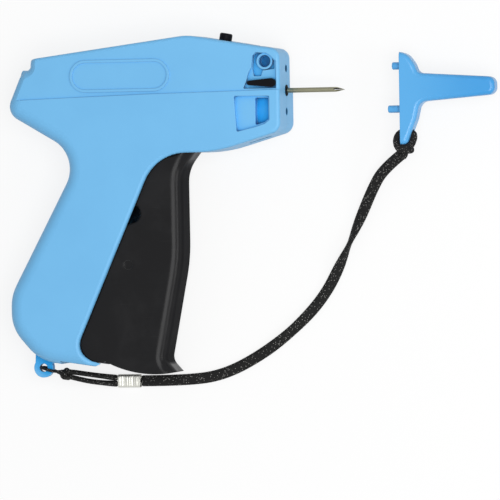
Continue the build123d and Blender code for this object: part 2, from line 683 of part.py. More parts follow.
# ---- feed wheel, axle, detent spring and pawl ----
with BuildPart() as feed_wheel:
    with BuildSketch(across(WHEEL_X0)):
        with Locations((WHEEL_Y, WHEEL_Z)):
            Circle(WHEEL_R - 1.2)
            with PolarLocations(WHEEL_R - 1.3, WHEEL_TEETH):
                Polygon((-0.6, -1.3), (1.3, -0.25), (1.3, 0.45), (-0.6, 1.1), align=None)
            Circle(1.0 + RUN, mode=Mode.SUBTRACT)
    extrude(amount=WHEEL_X1 - WHEEL_X0)
feed_wheel.part.label = "feed_wheel"
export_step(feed_wheel.part, "parts/feed_wheel.step")

with BuildPart() as feed_axle:
    with BuildSketch(across(-19.4)):
        with Locations((WHEEL_Y, WHEEL_Z)):
            Circle(1.0)
    extrude(amount=8.8)
feed_axle.part.label = "feed_axle"
export_step(feed_axle.part, "parts/feed_axle.step")

with BuildPart() as detent_spring:
    with BuildSketch(mid.offset(2.05)):
        with Locations(((WHEEL_X0 + WHEEL_X1) / 2, DETENT_Y)):
            Rectangle(2.0, 0.4)
    extrude(amount=7.4)
detent_spring.part.label = "detent_spring"
export_step(detent_spring.part, "parts/detent_spring.step")

with BuildPart() as feed_pawl:
    with BuildSketch(mid.offset(HALF - 7.0)):
        Polygon(
            (-24.5, -12.0), (-21.1, -12.0), (-21.1, 4.5), (-22.5, 6.0), (-24.5, 6.0), align=None,
        )
    extrude(amount=4.0)
    with BuildSketch(mid.offset(HALF - 4.5)):
        Polygon((-21.5, -7.4), (-17.35, -7.4), (-17.35, -6.6), (-19.0, -5.6), (-21.5, -5.6), align=None)
    extrude(amount=1.4)
feed_pawl.part.label = "feed_pawl"
export_step(feed_pawl.part, "parts/feed_pawl.step")

# ---- release button and its spring ----
with BuildPart() as release_button:
    with BuildSketch(up_from(BUTTON_X, BUTTON_Y, 0, BUTTON_TILT).offset(-4.6)):
        Circle(BUTTON_R)
    extrude(amount=4.6 + BUTTON_UP)
    fillet(release_button.edges().sort_by(Axis.Y)[-1], 0.8)
    with BuildSketch(up_from(BUTTON_X, BUTTON_Y, 0, BUTTON_TILT).offset(-5.6)):
        Circle(BUTTON_R + 1.0)
    extrude(amount=1.2)
    with BuildSketch(up_from(BUTTON_X, BUTTON_Y, 0, BUTTON_TILT).offset(-11.0)):
        Circle(1.1)
    extrude(amount=6.0)
release_button.part.label = "release_button"
export_step(release_button.part, "parts/release_button.step")


def coil(base, axis, radius, height, turns):
    """Centre line of a coil spring from a base point along an axis, both about the muzzle."""
    origin = mid.from_local_coords(Vector(*base))
    frame = Plane(origin=origin, z_dir=axis)
    return frame.location * Helix(pitch=height / turns, height=height, radius=radius)


with BuildPart() as release_spring:
    t = radians(BUTTON_TILT)
    foot = (BUTTON_X - 10.4 * sin(t), BUTTON_Y - 10.4 * cos(t), 0)
    path = coil(foot, (sin(t), cos(t), 0), 2.2, 4.3, 4)
    with BuildLine():
        add(path)
    with BuildSketch(Plane(origin=path @ 0, z_dir=path % 0)):
        Circle(0.35)
    sweep(is_frenet=True)
release_spring.part.label = "release_spring"
export_step(release_spring.part, "parts/release_spring.step")

with BuildPart() as return_spring:
    path = coil((-117.6, -94.5, 0), (1, 0, 0), 4.2, 42.6, 8)
    with BuildLine():
        add(path)
    with BuildSketch(Plane(origin=path @ 0, z_dir=path % 0)):
        Circle(0.55)
    sweep(is_frenet=True)
return_spring.part.label = "return_spring"
export_step(return_spring.part, "parts/return_spring.step")

# ---- needle cap, laid level in front of the muzzle ----
def cap_outline():
    """Side outline of the cap: flange and tab at the back, drawn in by round hollows to the sleeve."""
    with BuildLine() as line:
        FilletPolyline(
            (0.0, CAP_TOP), (3.4, CAP_TOP - 1.0), (6.6, 10.0), (7.7, 6.3),
            (CAP_LENGTH, 4.0), (CAP_LENGTH, -3.5), (8.6, -6.1), (7.0, -13.4), (2.6, TAB_END), (0.0, TAB_END),
            radius=[6.0, 9.0, 3.0, 3.2, 3.2, 4.0, 14.0, 2.2],
        )
        Line((0.0, TAB_END), (0.0, CAP_TOP))
    return make_face(line.line)


cap_inner = CAP_HALF - CAP_WALL
cap_block = extrude(mid.offset(-CAP_HALF).location * Pos(CAP_X, 0) * cap_outline(), 2 * CAP_HALF)
cap_hollow = extrude(
    mid.offset(-cap_inner).location * Pos(CAP_X, 0) * offset(cap_outline(), -CAP_WALL), 2 * cap_inner
)
with BuildPart() as needle_cap:
    add(cap_block)
    edges = []
    for e in needle_cap.edges():
        p = mid.to_local_coords(e.center())
        if abs(abs(p.Z) - CAP_HALF) < 0.01 and p.X > CAP_X + 0.1:
            edges.append(e)
    fillet(edges, CAP_ROUND)
    # one even wall all round, open at the flat face
    add(cap_hollow, mode=Mode.SUBTRACT)
    with BuildSketch(across(CAP_X)):
        with Locations(((CAP_TOP + TAB_END) / 2, 0)):
            Rectangle(CAP_TOP - TAB_END - 4.0 * CAP_WALL, 2 * cap_inner)
    extrude(amount=CAP_WALL + 0.1, mode=Mode.SUBTRACT)
    # two pegs for the holes in the muzzle, on ribs between the side walls
    for y, length in PEGS:
        with BuildSketch(across(CAP_X - length)):
            with Locations((y, 0)):
                Circle(PEG_R)
        extrude(amount=length + PEG_ROOT)
        with BuildSketch(across(CAP_X + 1.0)):
            with Locations((y, 0)):
                Rectangle(1.4, 2 * cap_inner + 0.4)
        extrude(amount=PEG_ROOT - 0.8)
        end = mid.from_local_coords(Vector(CAP_X - length, y, 0))
        fillet(needle_cap.edges().filter_by(GeomType.CIRCLE).sort_by_distance(end)[0], PEG_END)
    # hole in the front wall of the tab, for the cord
    with BuildSketch(across(CAP_X + 1.0)):
        with Locations((TAB_HOLE[0], 0)):
            Circle(TAB_HOLE[1])
    extrude(amount=10, mode=Mode.SUBTRACT)
needle_cap.part.label = "needle_cap"
export_step(needle_cap.part, "parts/needle_cap.step")
print("cap pieces", [round(piece.volume) for piece in needle_cap.part.solids()])


def run_radii(points):
    """Bend radius at each inner point: 0.45 of the shorter run over tan of half the turn."""
    radii = []
    for a, b, c in zip(points, points[1:], points[2:]):
        u, v = Vector(*b) - Vector(*a), Vector(*c) - Vector(*b)
        turn = radians(u.get_angle(v))
        radii.append(0.45 * min(u.length, v.length) / tan(turn / 2))
    return radii


def placed(points):
    """Cord points given about the muzzle in X and Y, and above the table in Z."""
    return [(MUZZLE_X + x, MUZZLE_Y + y, z) for x, y, z in points]


FERRULE_X = (-80.6, -70.6)
FERRULE_Y = -125.6
FERRULE_R = 2.9
KNOT_TIP = (53.0, -27.2)

CORD = placed([
    (-70.6, FERRULE_Y, 2.9), (-50.0, FERRULE_Y, 2.9), (-33.0, -121.9, 2.6), (-16.0, -112.9, 2.6),
    (-1.0, -101.2, 2.6), (11.0, -88.0, 2.6), (20.2, -72.0, 2.6), (27.6, -56.0, 2.7),
    (34.6, -42.4, 5.6), (41.6, -34.2, 9.4), (50.6, -28.3, 12.6),
])
STRAND_A = placed([(-80.6, FERRULE_Y + 1.25, 2.9), (-90.0, -122.9, 6.2), (-100.2, -120.9, 12.2)])
STRAND_B = placed([(-80.6, FERRULE_Y - 1.25, 2.9), (-90.0, -126.2, 5.9), (-100.2, -123.3, 11.6)])
LOOP = placed([
    (-104.6, -121.4, 14.2), (-107.9, -120.3, 16.1), (-111.2, -119.1, 16.2),
    (-111.2, -119.1, 9.8), (-107.9, -120.3, 9.7), (-104.6, -121.4, 10.6),
])

CORDS = (("cap_cord", CORD, CORD_D), ("string_strand_a", STRAND_A, STRAND_D),
         ("string_strand_b", STRAND_B, STRAND_D), ("string_loop", LOOP, LOOP_D))
for name, points, diameter in CORDS:
    radii = run_radii(points)
    with BuildPart() as cord:
        with BuildLine() as centre:
            FilletPolyline(*points, radius=radii)
        with BuildSketch(Plane(origin=points[0], z_dir=Vector(*points[1]) - Vector(*points[0]))):
            Circle(diameter / 2)
        sweep()
    cord.part.label = name
    export_step(cord.part, "parts/" + name + ".step")
    length = centre.wires()[0].length
    print(name, "length", round(length, 1), "volume ratio",
          round(cord.part.volume / (length * pi * diameter ** 2 / 4), 3),
          "radii in diameters", [round(r / diameter, 1) for r in radii])

with BuildPart() as ferrule:
    with BuildSketch(Plane(origin=(MUZZLE_X + FERRULE_X[0], MUZZLE_Y + FERRULE_Y, 2.9), z_dir=(1, 0, 0))):
        Circle(FERRULE_R)
    extrude(amount=FERRULE_X[1] - FERRULE_X[0])
ferrule.part.label = "ferrule"
export_step(ferrule.part, "parts/ferrule.step")

with BuildPart() as string_knot:
    with BuildSketch(Plane(origin=(MUZZLE_X - 104.6, MUZZLE_Y - 121.4, 12.4), z_dir=(4.4, -0.9, -0.6))):
        Ellipse(2.6, 2.6)
    extrude(amount=4.2)
string_knot.part.label = "string_knot"
export_step(string_knot.part, "parts/string_knot.step")

with BuildPart() as cord_knot:
    with Locations(Location((MUZZLE_X + KNOT_TIP[0], MUZZLE_Y + KNOT_TIP[1], HALF))):
        Sphere(3.9)
    with BuildSketch(mid.offset(-10)):
        with Locations((KNOT_TIP[0], TAB_END + 5.0)):
            Rectangle(20, 10)
    extrude(amount=20, mode=Mode.SUBTRACT)
cord_knot.part.label = "cord_knot"
export_step(cord_knot.part, "parts/cord_knot.step")
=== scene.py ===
"""Finishes, cord, string, screws and studio for a hand-held garment tag attacher lying on its left side."""

import math

import bpy
import numpy as np
from mathutils import Matrix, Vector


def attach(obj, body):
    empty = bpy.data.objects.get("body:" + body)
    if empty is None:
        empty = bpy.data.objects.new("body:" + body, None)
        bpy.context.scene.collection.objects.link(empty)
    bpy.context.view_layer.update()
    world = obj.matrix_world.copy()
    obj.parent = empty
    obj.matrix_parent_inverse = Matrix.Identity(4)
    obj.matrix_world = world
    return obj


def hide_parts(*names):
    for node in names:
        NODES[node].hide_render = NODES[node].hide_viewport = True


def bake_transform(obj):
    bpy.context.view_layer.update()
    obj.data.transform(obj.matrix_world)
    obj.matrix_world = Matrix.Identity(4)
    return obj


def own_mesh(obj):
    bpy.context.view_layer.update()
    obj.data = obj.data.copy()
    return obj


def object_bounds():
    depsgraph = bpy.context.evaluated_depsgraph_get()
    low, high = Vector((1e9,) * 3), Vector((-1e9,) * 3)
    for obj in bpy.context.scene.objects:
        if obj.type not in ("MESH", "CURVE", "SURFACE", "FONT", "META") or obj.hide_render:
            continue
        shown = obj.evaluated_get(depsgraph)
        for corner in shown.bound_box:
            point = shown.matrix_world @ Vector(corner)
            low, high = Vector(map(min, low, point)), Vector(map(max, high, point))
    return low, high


bl_info = {
    "name": "Garment tag attacher",
    "version": (1, 0, 0),
    "blender": (4, 5, 0),
    "location": "3D View > Sidebar > Tag attacher",
    "description": "Finishes, cord, string, screws and studio for a garment tag attacher",
    "category": "Object",
}

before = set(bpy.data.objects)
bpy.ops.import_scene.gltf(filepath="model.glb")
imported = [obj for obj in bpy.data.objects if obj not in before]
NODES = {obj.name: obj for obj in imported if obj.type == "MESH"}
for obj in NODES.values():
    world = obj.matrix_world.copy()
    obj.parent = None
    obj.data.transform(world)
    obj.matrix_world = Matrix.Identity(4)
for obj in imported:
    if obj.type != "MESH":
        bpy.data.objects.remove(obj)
CAD_BOX = [list(corner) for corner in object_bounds()]

# The muzzle, where the needle leaves the front face, on the middle plane: millimetres in the frame.
MUZZLE = np.array((30.0, 10.0, 13.0))
MM = 0.001
# Where the muzzle is in the square picture, as shares of its width from the left and from the top.
MUZZLE_IN_PICTURE = (0.5728, 0.1808)
# Lamps: place, width and height in metres of the frame, and the point that they are aimed at.
KEY_LAMP = ((0.40, -0.10, 1.10), 0.70, 0.80)
SIDE_LAMP = ((0.90, -0.16, 0.55), 0.25, 0.45)
LAMP_AIM = (0.0, -0.04, 0.01)
# Share of even white in the floor where the camera sees it, and where gloss or glass mirrors it.
SEEN_GLOW, MIRRORED_GLOW = 0.80, 0.25

# Route of the cap's cord: along and up from the muzzle, then height above the table.
CORD_ROUTE = (
    (-70.6, -125.6, 2.1), (-50.0, -125.6, 1.6), (-32.7, -123.2, 1.3), (-15.0, -114.1, 1.3),
    (0.4, -102.6, 1.3), (12.9, -89.1, 1.3), (21.7, -72.7, 1.3), (29.0, -56.6, 1.9),
    (35.7, -43.0, 5.4), (41.6, -34.6, 9.4), (50.6, -28.3, 12.6),
)
# Metres along the cord: the middle of its half turn and its length, the same for its lean, how far
# it leans in radians, and where it leaves the table and over what length.
TWIST_AT, TWIST_OVER = 0.1185, 0.046
LEAN_AT, LEAN_OVER, LEAN = 0.074, 0.012, 0.6
LEAVES_AT, LEAVES_OVER = 0.150, 0.02
# Route of the string: from the ferrule to the hitch, through the ring, and back to the ferrule.
STRING_ROUTE = (
    (-80.6, -124.35, 2.4), (-90.0, -122.9, 6.2), (-100.2, -120.9, 12.0), (-104.6, -120.9, 14.2),
    (-107.9, -120.3, 16.1), (-111.2, -119.1, 16.4), (-112.6, -118.9, 13.1), (-111.2, -119.1, 9.8),
    (-107.9, -120.4, 9.5), (-104.6, -121.9, 10.6), (-100.2, -123.3, 11.4), (-90.0, -126.2, 5.9),
    (-80.6, -126.85, 2.4),
)
# Middle of the collar at the cap and of the string's hitch, about the muzzle.
COLLAR_AT = np.array((51.8, -26.1, 0.0))
HITCH_AT = np.array((-101.6, -121.9, -0.9))
# Length of one step along cord, knot and string, in metres, and the yarns round each; the string's
# material shows more yarns than its relief.
CORD_STEP, KNOT_STEP, STRING_STEP = 0.00032, 0.00030, 0.00024
CORD_YARNS, KNOT_YARNS, STRING_YARNS, STRING_FILAMENTS = 24, 12, 10, 14
# Ferrule: the middle of its rear end, placed as the cord is, then in metres half its width, half its
# height and the depth of its mouth.
FERRULE_REAR = (-80.6, -125.6, 2.1)
FERRULE_WIDE, FERRULE_TALL, FERRULE_MOUTH = 0.0029, 0.0020, 0.0012
# Housing screws: along and up from the muzzle, and how far each head is turned, in turns.
SCREWS = ((-104.0, 10.6, 0.05), (-36.0, 12.8, 0.17), (-34.0, -16.0, 0.11), (-111.5, -105.5, 0.21))
# Screw seats below the middle plane, in millimetres, and in metres the height of the heads and the
# cross in them: half an arm's width, its length, its depth, and how far its walls and ends slope.
SCREW_SEAT, SCREW_RISE = -10.8, 0.0012
CROSS_HALF, CROSS_REACH, CROSS_DEPTH = 0.00042, 0.00165, 0.0007
CROSS_SLOPE, CROSS_END = 0.00020, 0.00030
# Release button, about the muzzle: its place on the top edge, its lean towards the muzzle, and how far
# below its place the seat of its spring lies.
BUTTON = np.array((-26.85, 22.1, 0.0))
BUTTON_TILT = math.radians(10.0)
BUTTON_SEAT = 10.75
# Seat of the trigger's return spring, about the muzzle; the spring points along the tool.
RETURN_SEAT = (-118.15, -94.5, 0.0)
# Share of their length that the springs keep at their joints' limits.
RELEASE_KEEP, RETURN_KEEP = 0.55, 0.50
# Needle, in millimetres: outer and inner radius; ahead of the muzzle, its rear end, where its bevel
# and its drawn-in point start, and its tip.
NEEDLE_RADIUS, NEEDLE_BORE = 1.05, 0.75
NEEDLE_START, NEEDLE_BEVEL, NEEDLE_DRAWN, NEEDLE_TIP = -4.4, 20.6, 21.8, 26.0
# Needle's seam: half its width behind and near the point, and between which places it narrows.
SEAM_OPEN, SEAM_CLOSED = 0.40, 0.13
SEAM_FROM, SEAM_TO = 12.0, 20.0
# The bevel faces the right side, turned this far up the tool.
BEVEL_TURN = math.radians(22.0)


# ---------------------------------------------------------------- sizes and colours


class HousingSettings(bpy.types.PropertyGroup):
    """Moulded housing."""

    colour: bpy.props.FloatVectorProperty(
        name="Colour", description="Pale blue of the two shells", subtype="COLOR",
        size=3, min=0.0, max=1.0, default=(0.184, 0.520, 0.865))
    grain_size: bpy.props.FloatProperty(
        name="Grain size", description="Width of the spark texture's grains", subtype="DISTANCE",
        unit="LENGTH", min=0.0001, max=0.002, default=0.00042)
    grain_depth: bpy.props.FloatProperty(
        name="Grain depth", description="Depth of the spark texture", subtype="DISTANCE",
        unit="LENGTH", min=0.0, max=0.0002, default=0.000012)
    joint_width: bpy.props.FloatProperty(
        name="Joint width", description="Width of the line where the shells meet",
        subtype="DISTANCE", unit="LENGTH", min=0.0, max=0.001, default=0.00016)
    # Painted shade: share of each colour left at the bottom of pockets, standing in for their shade.
    deep_tint: bpy.props.FloatVectorProperty(
        name="Pocket tint", description="Share of each colour left at the bottom of pockets",
        subtype="COLOR", size=3, min=0.0, max=1.0, default=(0.03, 0.74, 1.0))


class CapSettings(bpy.types.PropertyGroup):
    """Needle cap."""

    colour: bpy.props.FloatVectorProperty(
        name="Colour", description="Deeper blue of the needle cap", subtype="COLOR",
        size=3, min=0.0, max=1.0, default=(0.092, 0.410, 0.800))
    # Painted shade: the cap's colour darkens to this blue towards the tip of the sleeve.
    deep_colour: bpy.props.FloatVectorProperty(
        name="Tip colour", description="Blue of the thicker plastic at the tip of the sleeve",
        subtype="COLOR", size=3, min=0.0, max=1.0, default=(0.044, 0.335, 0.740))
    # Painted shade: share of each colour left at the bottom of pockets, standing in for their shade.
    deep_tint: bpy.props.FloatVectorProperty(
        name="Pocket tint", description="Share of each colour left at the bottom of pockets",
        subtype="COLOR", size=3, min=0.0, max=1.0, default=(0.10, 0.60, 0.95))


class TriggerSettings(bpy.types.PropertyGroup):
    """Polished trigger, satin black fittings and the mechanism's natural plastic."""

    colour: bpy.props.FloatVectorProperty(
        name="Colour", description="Near black of the trigger", subtype="COLOR",
        size=3, min=0.0, max=1.0, default=(0.0085, 0.0085, 0.0095))
    fitting_colour: bpy.props.FloatVectorProperty(
        name="Fitting colour", description="Near black of the lever, button and needle base",
        subtype="COLOR", size=3, min=0.0, max=1.0, default=(0.0050, 0.0050, 0.0070))
    acetal_colour: bpy.props.FloatVectorProperty(
        name="Acetal colour", description="Natural white of the lever, carrier, wheel and pawl",
        subtype="COLOR", size=3, min=0.0, max=1.0, default=(0.72, 0.70, 0.64))


class MetalSettings(bpy.types.PropertyGroup):
    """Needle, pins, springs, screws and ferrule."""

    needle_colour: bpy.props.FloatVectorProperty(
        name="Needle", description="Warm stainless tube", subtype="COLOR",
        size=3, min=0.0, max=1.0, default=(0.285, 0.278, 0.195))
    steel_colour: bpy.props.FloatVectorProperty(
        name="Steel", description="Pins, wire and screws", subtype="COLOR",
        size=3, min=0.0, max=1.0, default=(0.56, 0.56, 0.57))
    ferrule_colour: bpy.props.FloatVectorProperty(
        name="Ferrule", description="Pressed aluminium sleeve", subtype="COLOR",
        size=3, min=0.0, max=1.0, default=(0.69, 0.69, 0.64))
    ferrule_length: bpy.props.FloatProperty(
        name="Ferrule length", description="Length of the pressed sleeve", subtype="DISTANCE",
        unit="LENGTH", min=0.004, max=0.02, default=0.010)
    ferrule_wall: bpy.props.FloatProperty(
        name="Ferrule wall", description="Thickness of the pressed sleeve", subtype="DISTANCE",
        unit="LENGTH", min=0.0001, max=0.001, default=0.0004)
    screw_head: bpy.props.FloatProperty(
        name="Screw head", description="Diameter of the screw heads", subtype="DISTANCE",
        unit="LENGTH", min=0.003, max=0.0062, default=0.0054)


class CordSettings(bpy.types.PropertyGroup):
    """Flat braided cord and its thin string."""

    colour: bpy.props.FloatVectorProperty(
        name="Colour", description="Black yarn", subtype="COLOR",
        size=3, min=0.0, max=1.0, default=(0.0085, 0.0085, 0.0085))
    # Bright flecks: bright filaments, and painted glints where the stitches catch the light.
    fleck_colour: bpy.props.FloatVectorProperty(
        name="Fleck colour", description="Bright filaments in the braid", subtype="COLOR",
        size=3, min=0.0, max=1.0, default=(0.34, 0.335, 0.32))
    width: bpy.props.FloatProperty(
        name="Width", description="Width of the flat braid", subtype="DISTANCE",
        unit="LENGTH", min=0.002, max=0.006, default=0.0048)
    thickness: bpy.props.FloatProperty(
        name="Thickness", description="Thickness of the flat braid", subtype="DISTANCE",
        unit="LENGTH", min=0.001, max=0.004, default=0.0021)
    stitch: bpy.props.FloatProperty(
        name="Stitch", description="Length of one stitch of the braid", subtype="DISTANCE",
        unit="LENGTH", min=0.0005, max=0.004, default=0.0019)
    relief: bpy.props.FloatProperty(
        name="Relief", description="How far the yarns stand out", subtype="DISTANCE",
        unit="LENGTH", min=0.0, max=0.0005, default=0.00016)
    string: bpy.props.FloatProperty(
        name="String", description="Diameter of the string's strands", subtype="DISTANCE",
        unit="LENGTH", min=0.001, max=0.003, default=0.0023)


class StudioSettings(bpy.types.PropertyGroup):
    """Camera, floor and lamps."""

    turn: bpy.props.FloatProperty(
        name="Turn", description="Camera moved round towards the muzzle", subtype="ANGLE",
        default=math.radians(14.45))
    lift: bpy.props.FloatProperty(
        name="Lift", description="Camera moved up the tool", subtype="ANGLE",
        default=math.radians(1.0))
    roll: bpy.props.FloatProperty(
        name="Roll", description="Tool turned in the picture", subtype="ANGLE",
        default=math.radians(0.97))
    distance: bpy.props.FloatProperty(
        name="Distance", description="Camera to the muzzle", subtype="DISTANCE",
        unit="LENGTH", min=0.3, max=5.0, default=2.0)
    width: bpy.props.FloatProperty(
        name="Picture width", description="Width of the picture at the muzzle",
        subtype="DISTANCE", unit="LENGTH", min=0.1, max=1.0, default=0.2158)
    sky: bpy.props.FloatProperty(
        name="Sky", description="Strength of the soft light from all round",
        min=0.0, max=2.0, default=0.43)
    key: bpy.props.FloatProperty(
        name="Key lamp", description="Power of the large lamp above the tool, towards the muzzle",
        subtype="POWER", min=0.0, max=50.0, default=7.9)
    side: bpy.props.FloatProperty(
        name="Side lamp", description="Power of the lamp beside the muzzle",
        subtype="POWER", min=0.0, max=50.0, default=1.5)


# ---------------------------------------------------------------- lines and skins


def in_frame(points, on_table=False):
    """Millimetres about the muzzle, in metres of the frame; with on_table, heights count from the table."""
    shift = MUZZLE * (1.0, 1.0, 0.0 if on_table else 1.0)
    return (np.asarray(points, float) + shift) * MM


def smooth_line(points):
    """Points of the smooth spline that has the given points as its control points.

    Few points, listed one by one, get forty steps each; the many points of a coil get eight.
    """
    curve = bpy.data.curves.new("route", "CURVE")
    curve.dimensions = "3D"
    curve.resolution_u = 40 if len(points) < 20 else 8
    spline = curve.splines.new("NURBS")
    spline.points.add(len(points) - 1)
    homogeneous = np.ones((len(points), 4), np.float32)
    homogeneous[:, :3] = points
    spline.points.foreach_set("co", homogeneous.ravel())
    spline.order_u = 3
    spline.use_endpoint_u = True
    holder = bpy.data.objects.new("route", curve)
    bpy.context.scene.collection.objects.link(holder)
    bpy.context.view_layer.update()
    mesh = bpy.data.meshes.new_from_object(holder)
    line = np.empty(len(mesh.vertices) * 3, np.float32)
    mesh.vertices.foreach_get("co", line)
    bpy.data.meshes.remove(mesh)
    bpy.data.objects.remove(holder)
    bpy.data.curves.remove(curve)
    return line.reshape(-1, 3).astype(float)


def evenly(line, step):
    """The same line with its points an equal step apart, and each point's distance from the start."""
    run = np.r_[0.0, np.cumsum(np.linalg.norm(np.diff(line, axis=0), axis=1))]
    along = np.linspace(0.0, run[-1], int(round(run[-1] / step)) + 1)
    even = np.stack([np.interp(along, run, line[:, k]) for k in range(3)], axis=1)
    return even, along


def unit(vectors):
    """Vectors divided by their lengths."""
    return vectors / np.linalg.norm(vectors, axis=-1, keepdims=True)


def directions(line, upward):
    """Side and up along a line: up is the given direction less its share along the tangent."""
    tangent = unit(np.gradient(line, axis=0))
    upward = np.broadcast_to(np.asarray(upward, float), line.shape)
    up = unit(upward - tangent * np.sum(upward * tangent, axis=1, keepdims=True))
    return np.cross(up, tangent), up


def superellipse(turns, half_width, half_height, power):
    """Profile |x/w|^n + |y/h|^n = 1, read at angles given in turns."""
    c, s = np.cos(2 * np.pi * turns), np.sin(2 * np.pi * turns)
    size = (np.abs(c) ** power + np.abs(s) ** power) ** (-1.0 / power)
    return half_width * c * size, half_height * s * size


def yarns(along, turns, stitch, count):
    """Height of a plain braid, 0 to 1.

    Two families of yarns cross at p = along/stitch + count*turns/2 and q = along/stitch - count*turns/2.
    In each cell of p and q one family lies on top, turn about. Its height is the root of a sine
    across it, and falls to 0.45 of that where it goes under.
    """
    p = along / stitch + count * turns / 2
    q = along / stitch - count * turns / 2
    over = (np.floor(p) + np.floor(q)) % 2 < 0.5
    across_p, across_q = np.sin(np.pi * (p % 1.0)), np.sin(np.pi * (q % 1.0))
    first = np.sqrt(across_q) * (0.45 + 0.55 * across_p)
    second = np.sqrt(across_p) * (0.45 + 0.55 * across_q)
    return np.where(over, first, second)


def skin(name, grid, along, poles=None):
    """Mesh of rings of points joined into one skin, closed at both ends.

    grid is ring by place on the ring; faces run round the ring first, so they point outwards when
    each ring turns to the left about the way along. The ends close with a pole each or, without
    poles, straight across rings that go out along one side and back along the other.
    The map holds millimetres along and turns round.
    """
    rings, around = grid.shape[:2]
    points = grid.reshape(-1, 3)
    ring, place = np.meshgrid(np.arange(rings - 1), np.arange(around), indexing="ij")
    ring, place = ring.ravel(), place.ravel()
    after = (place + 1) % around
    quads = np.stack([ring * around + place, ring * around + after,
                      (ring + 1) * around + after, (ring + 1) * around + place], axis=1)
    last = (rings - 1) * around
    millimetres = along / MM
    quad_map = np.stack([
        np.stack([millimetres[ring], millimetres[ring], millimetres[ring + 1], millimetres[ring + 1]], 1),
        np.stack([place, place + 1, place + 1, place], 1) / around], axis=-1)
    if poles is None:
        near = np.arange(around // 2 - 1)
        far = around - 1 - near
        ends = np.concatenate([np.stack([near + 1, near, far, far - 1], 1),
                               last + np.stack([near, near + 1, far - 1, far], 1)])
        turned = np.concatenate([np.stack([near + 1, near, near, near + 1], 1)] * 2) / around
    else:
        points = np.concatenate([points, np.asarray(poles, float)])
        edge = np.arange(around)
        following = (edge + 1) % around
        start = np.stack([np.full(around, rings * around), following, edge], axis=1)
        end = np.stack([np.full(around, rings * around + 1), last + edge, last + following], axis=1)
        ends = np.concatenate([start, end])
        turned = np.concatenate([np.stack([edge + 0.5, edge + 1, edge], 1),
                                 np.stack([edge + 0.5, edge, edge + 1], 1)]) / around
    half = np.arange(len(ends)) < len(ends) // 2
    run = np.where(half, millimetres[0], millimetres[-1])[:, None]
    end_map = np.stack([run + 0 * turned, turned], axis=-1)
    corners = np.concatenate([quads.ravel(), ends.ravel()])
    sizes = np.r_[np.full(len(quads), 4), np.full(len(ends), ends.shape[1])]
    mesh = bpy.data.meshes.new(name)
    mesh.vertices.add(len(points))
    mesh.vertices.foreach_set("co", points.astype(np.float32).ravel())
    mesh.loops.add(len(corners))
    mesh.loops.foreach_set("vertex_index", corners.astype(np.int32))
    mesh.polygons.add(len(sizes))
    mesh.polygons.foreach_set("loop_start", np.r_[0, np.cumsum(sizes)[:-1]].astype(np.int32))
    mesh.polygons.foreach_set("use_smooth", np.ones(len(sizes), bool))
    layer = mesh.uv_layers.new(name="Weave")
    layer.data.foreach_set("uv", np.concatenate([quad_map.ravel(), end_map.ravel()]).astype(np.float32))
    mesh.update(calc_edges=True)
    mesh.validate()
    return mesh


def place(name, mesh, material, body, slot):
    """A new piece with its material, riding on a body of the frame where one is named."""
    piece = bpy.data.objects.new(name, mesh)
    bpy.context.scene.collection.objects.link(piece)
    mesh.materials.append(material)
    if body:
        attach(piece, body)
    return piece


def braided_tube(name, line, along, half_width, half_height, power, turn, settings, count, upward):
    """Skin of a braided cord: a superellipse carried along a line, turned by an angle at each point.

    The yarns' height is added along the profile's own direction, and both ends close in a short dome.
    """
    side, up = directions(line, upward)
    cos, sin = np.cos(turn)[:, None], np.sin(turn)[:, None]
    side, up = side * cos + up * sin, up * cos - side * sin
    around = 64 if np.max(half_width) > np.max(half_height) * 1.3 else 40
    turns = np.arange(around) / around
    x, y = superellipse(turns[None, :], 1.0, 1.0, power)
    wide = np.broadcast_to(half_width, along.shape)[:, None]
    tall = np.broadcast_to(half_height, along.shape)[:, None]
    x, y = x * wide, y * tall
    reach = np.hypot(x, y)
    height = yarns(along[:, None], turns[None, :], settings.stitch, count)
    near_end = np.minimum(along, along[-1] - along)[:, None] / np.minimum(wide, tall)
    dome = np.sqrt(1.0 - (1.0 - np.clip(near_end, 0.06, 1.0)) ** 2)
    grow = (1.0 + (height - 0.6) * settings.relief / reach) * dome
    offset = (x * grow)[..., None] * side[:, None, :] + (y * grow)[..., None] * up[:, None, :]
    return skin(name, line[:, None, :] + offset, along, (line[0], line[-1]))


# ---------------------------------------------------------------- shared effects


def node(tree, kind, **values):
    """A node with its inputs and properties set: inputs by their label, properties in lower case."""
    made = tree.nodes.new(kind)
    for key, value in values.items():
        if key[0].islower():
            setattr(made, key, value)
        else:
            made.inputs[key].default_value = value
    return made


def on_piece(tree):
    """Object coordinates: places on the piece, in metres of the frame."""
    return node(tree, "ShaderNodeTexCoord").outputs["Object"]


def facing(tree):
    """The way that the surface faces."""
    return node(tree, "ShaderNodeNewGeometry").outputs["Normal"]


def numbers(tree, vector):
    """The three numbers of a vector, as sockets."""
    split = node(tree, "ShaderNodeSeparateXYZ")
    tree.links.new(vector, split.inputs[0])
    return split.outputs


def arithmetic(tree, operation, first, second=None, third=None, clamp=False):
    """A Math node fed by sockets or plain numbers."""
    made = node(tree, "ShaderNodeMath", operation=operation, use_clamp=clamp)
    for index, value in enumerate((first, second, third)):
        if value is None:
            continue
        if isinstance(value, (int, float)):
            made.inputs[index].default_value = value
        else:
            tree.links.new(value, made.inputs[index])
    return made.outputs[0]


def ramp(tree, value, low, high, to_low=0.0, to_high=1.0):
    """A value carried smoothly from one range to another."""
    made = node(tree, "ShaderNodeMapRange", interpolation_type="SMOOTHSTEP")
    for label, number in (("From Min", low), ("From Max", high), ("To Min", to_low), ("To Max", to_high)):
        if isinstance(number, (int, float)):
            made.inputs[label].default_value = number
        else:
            tree.links.new(number, made.inputs[label])
    tree.links.new(value, made.inputs["Value"])
    return made.outputs["Result"]


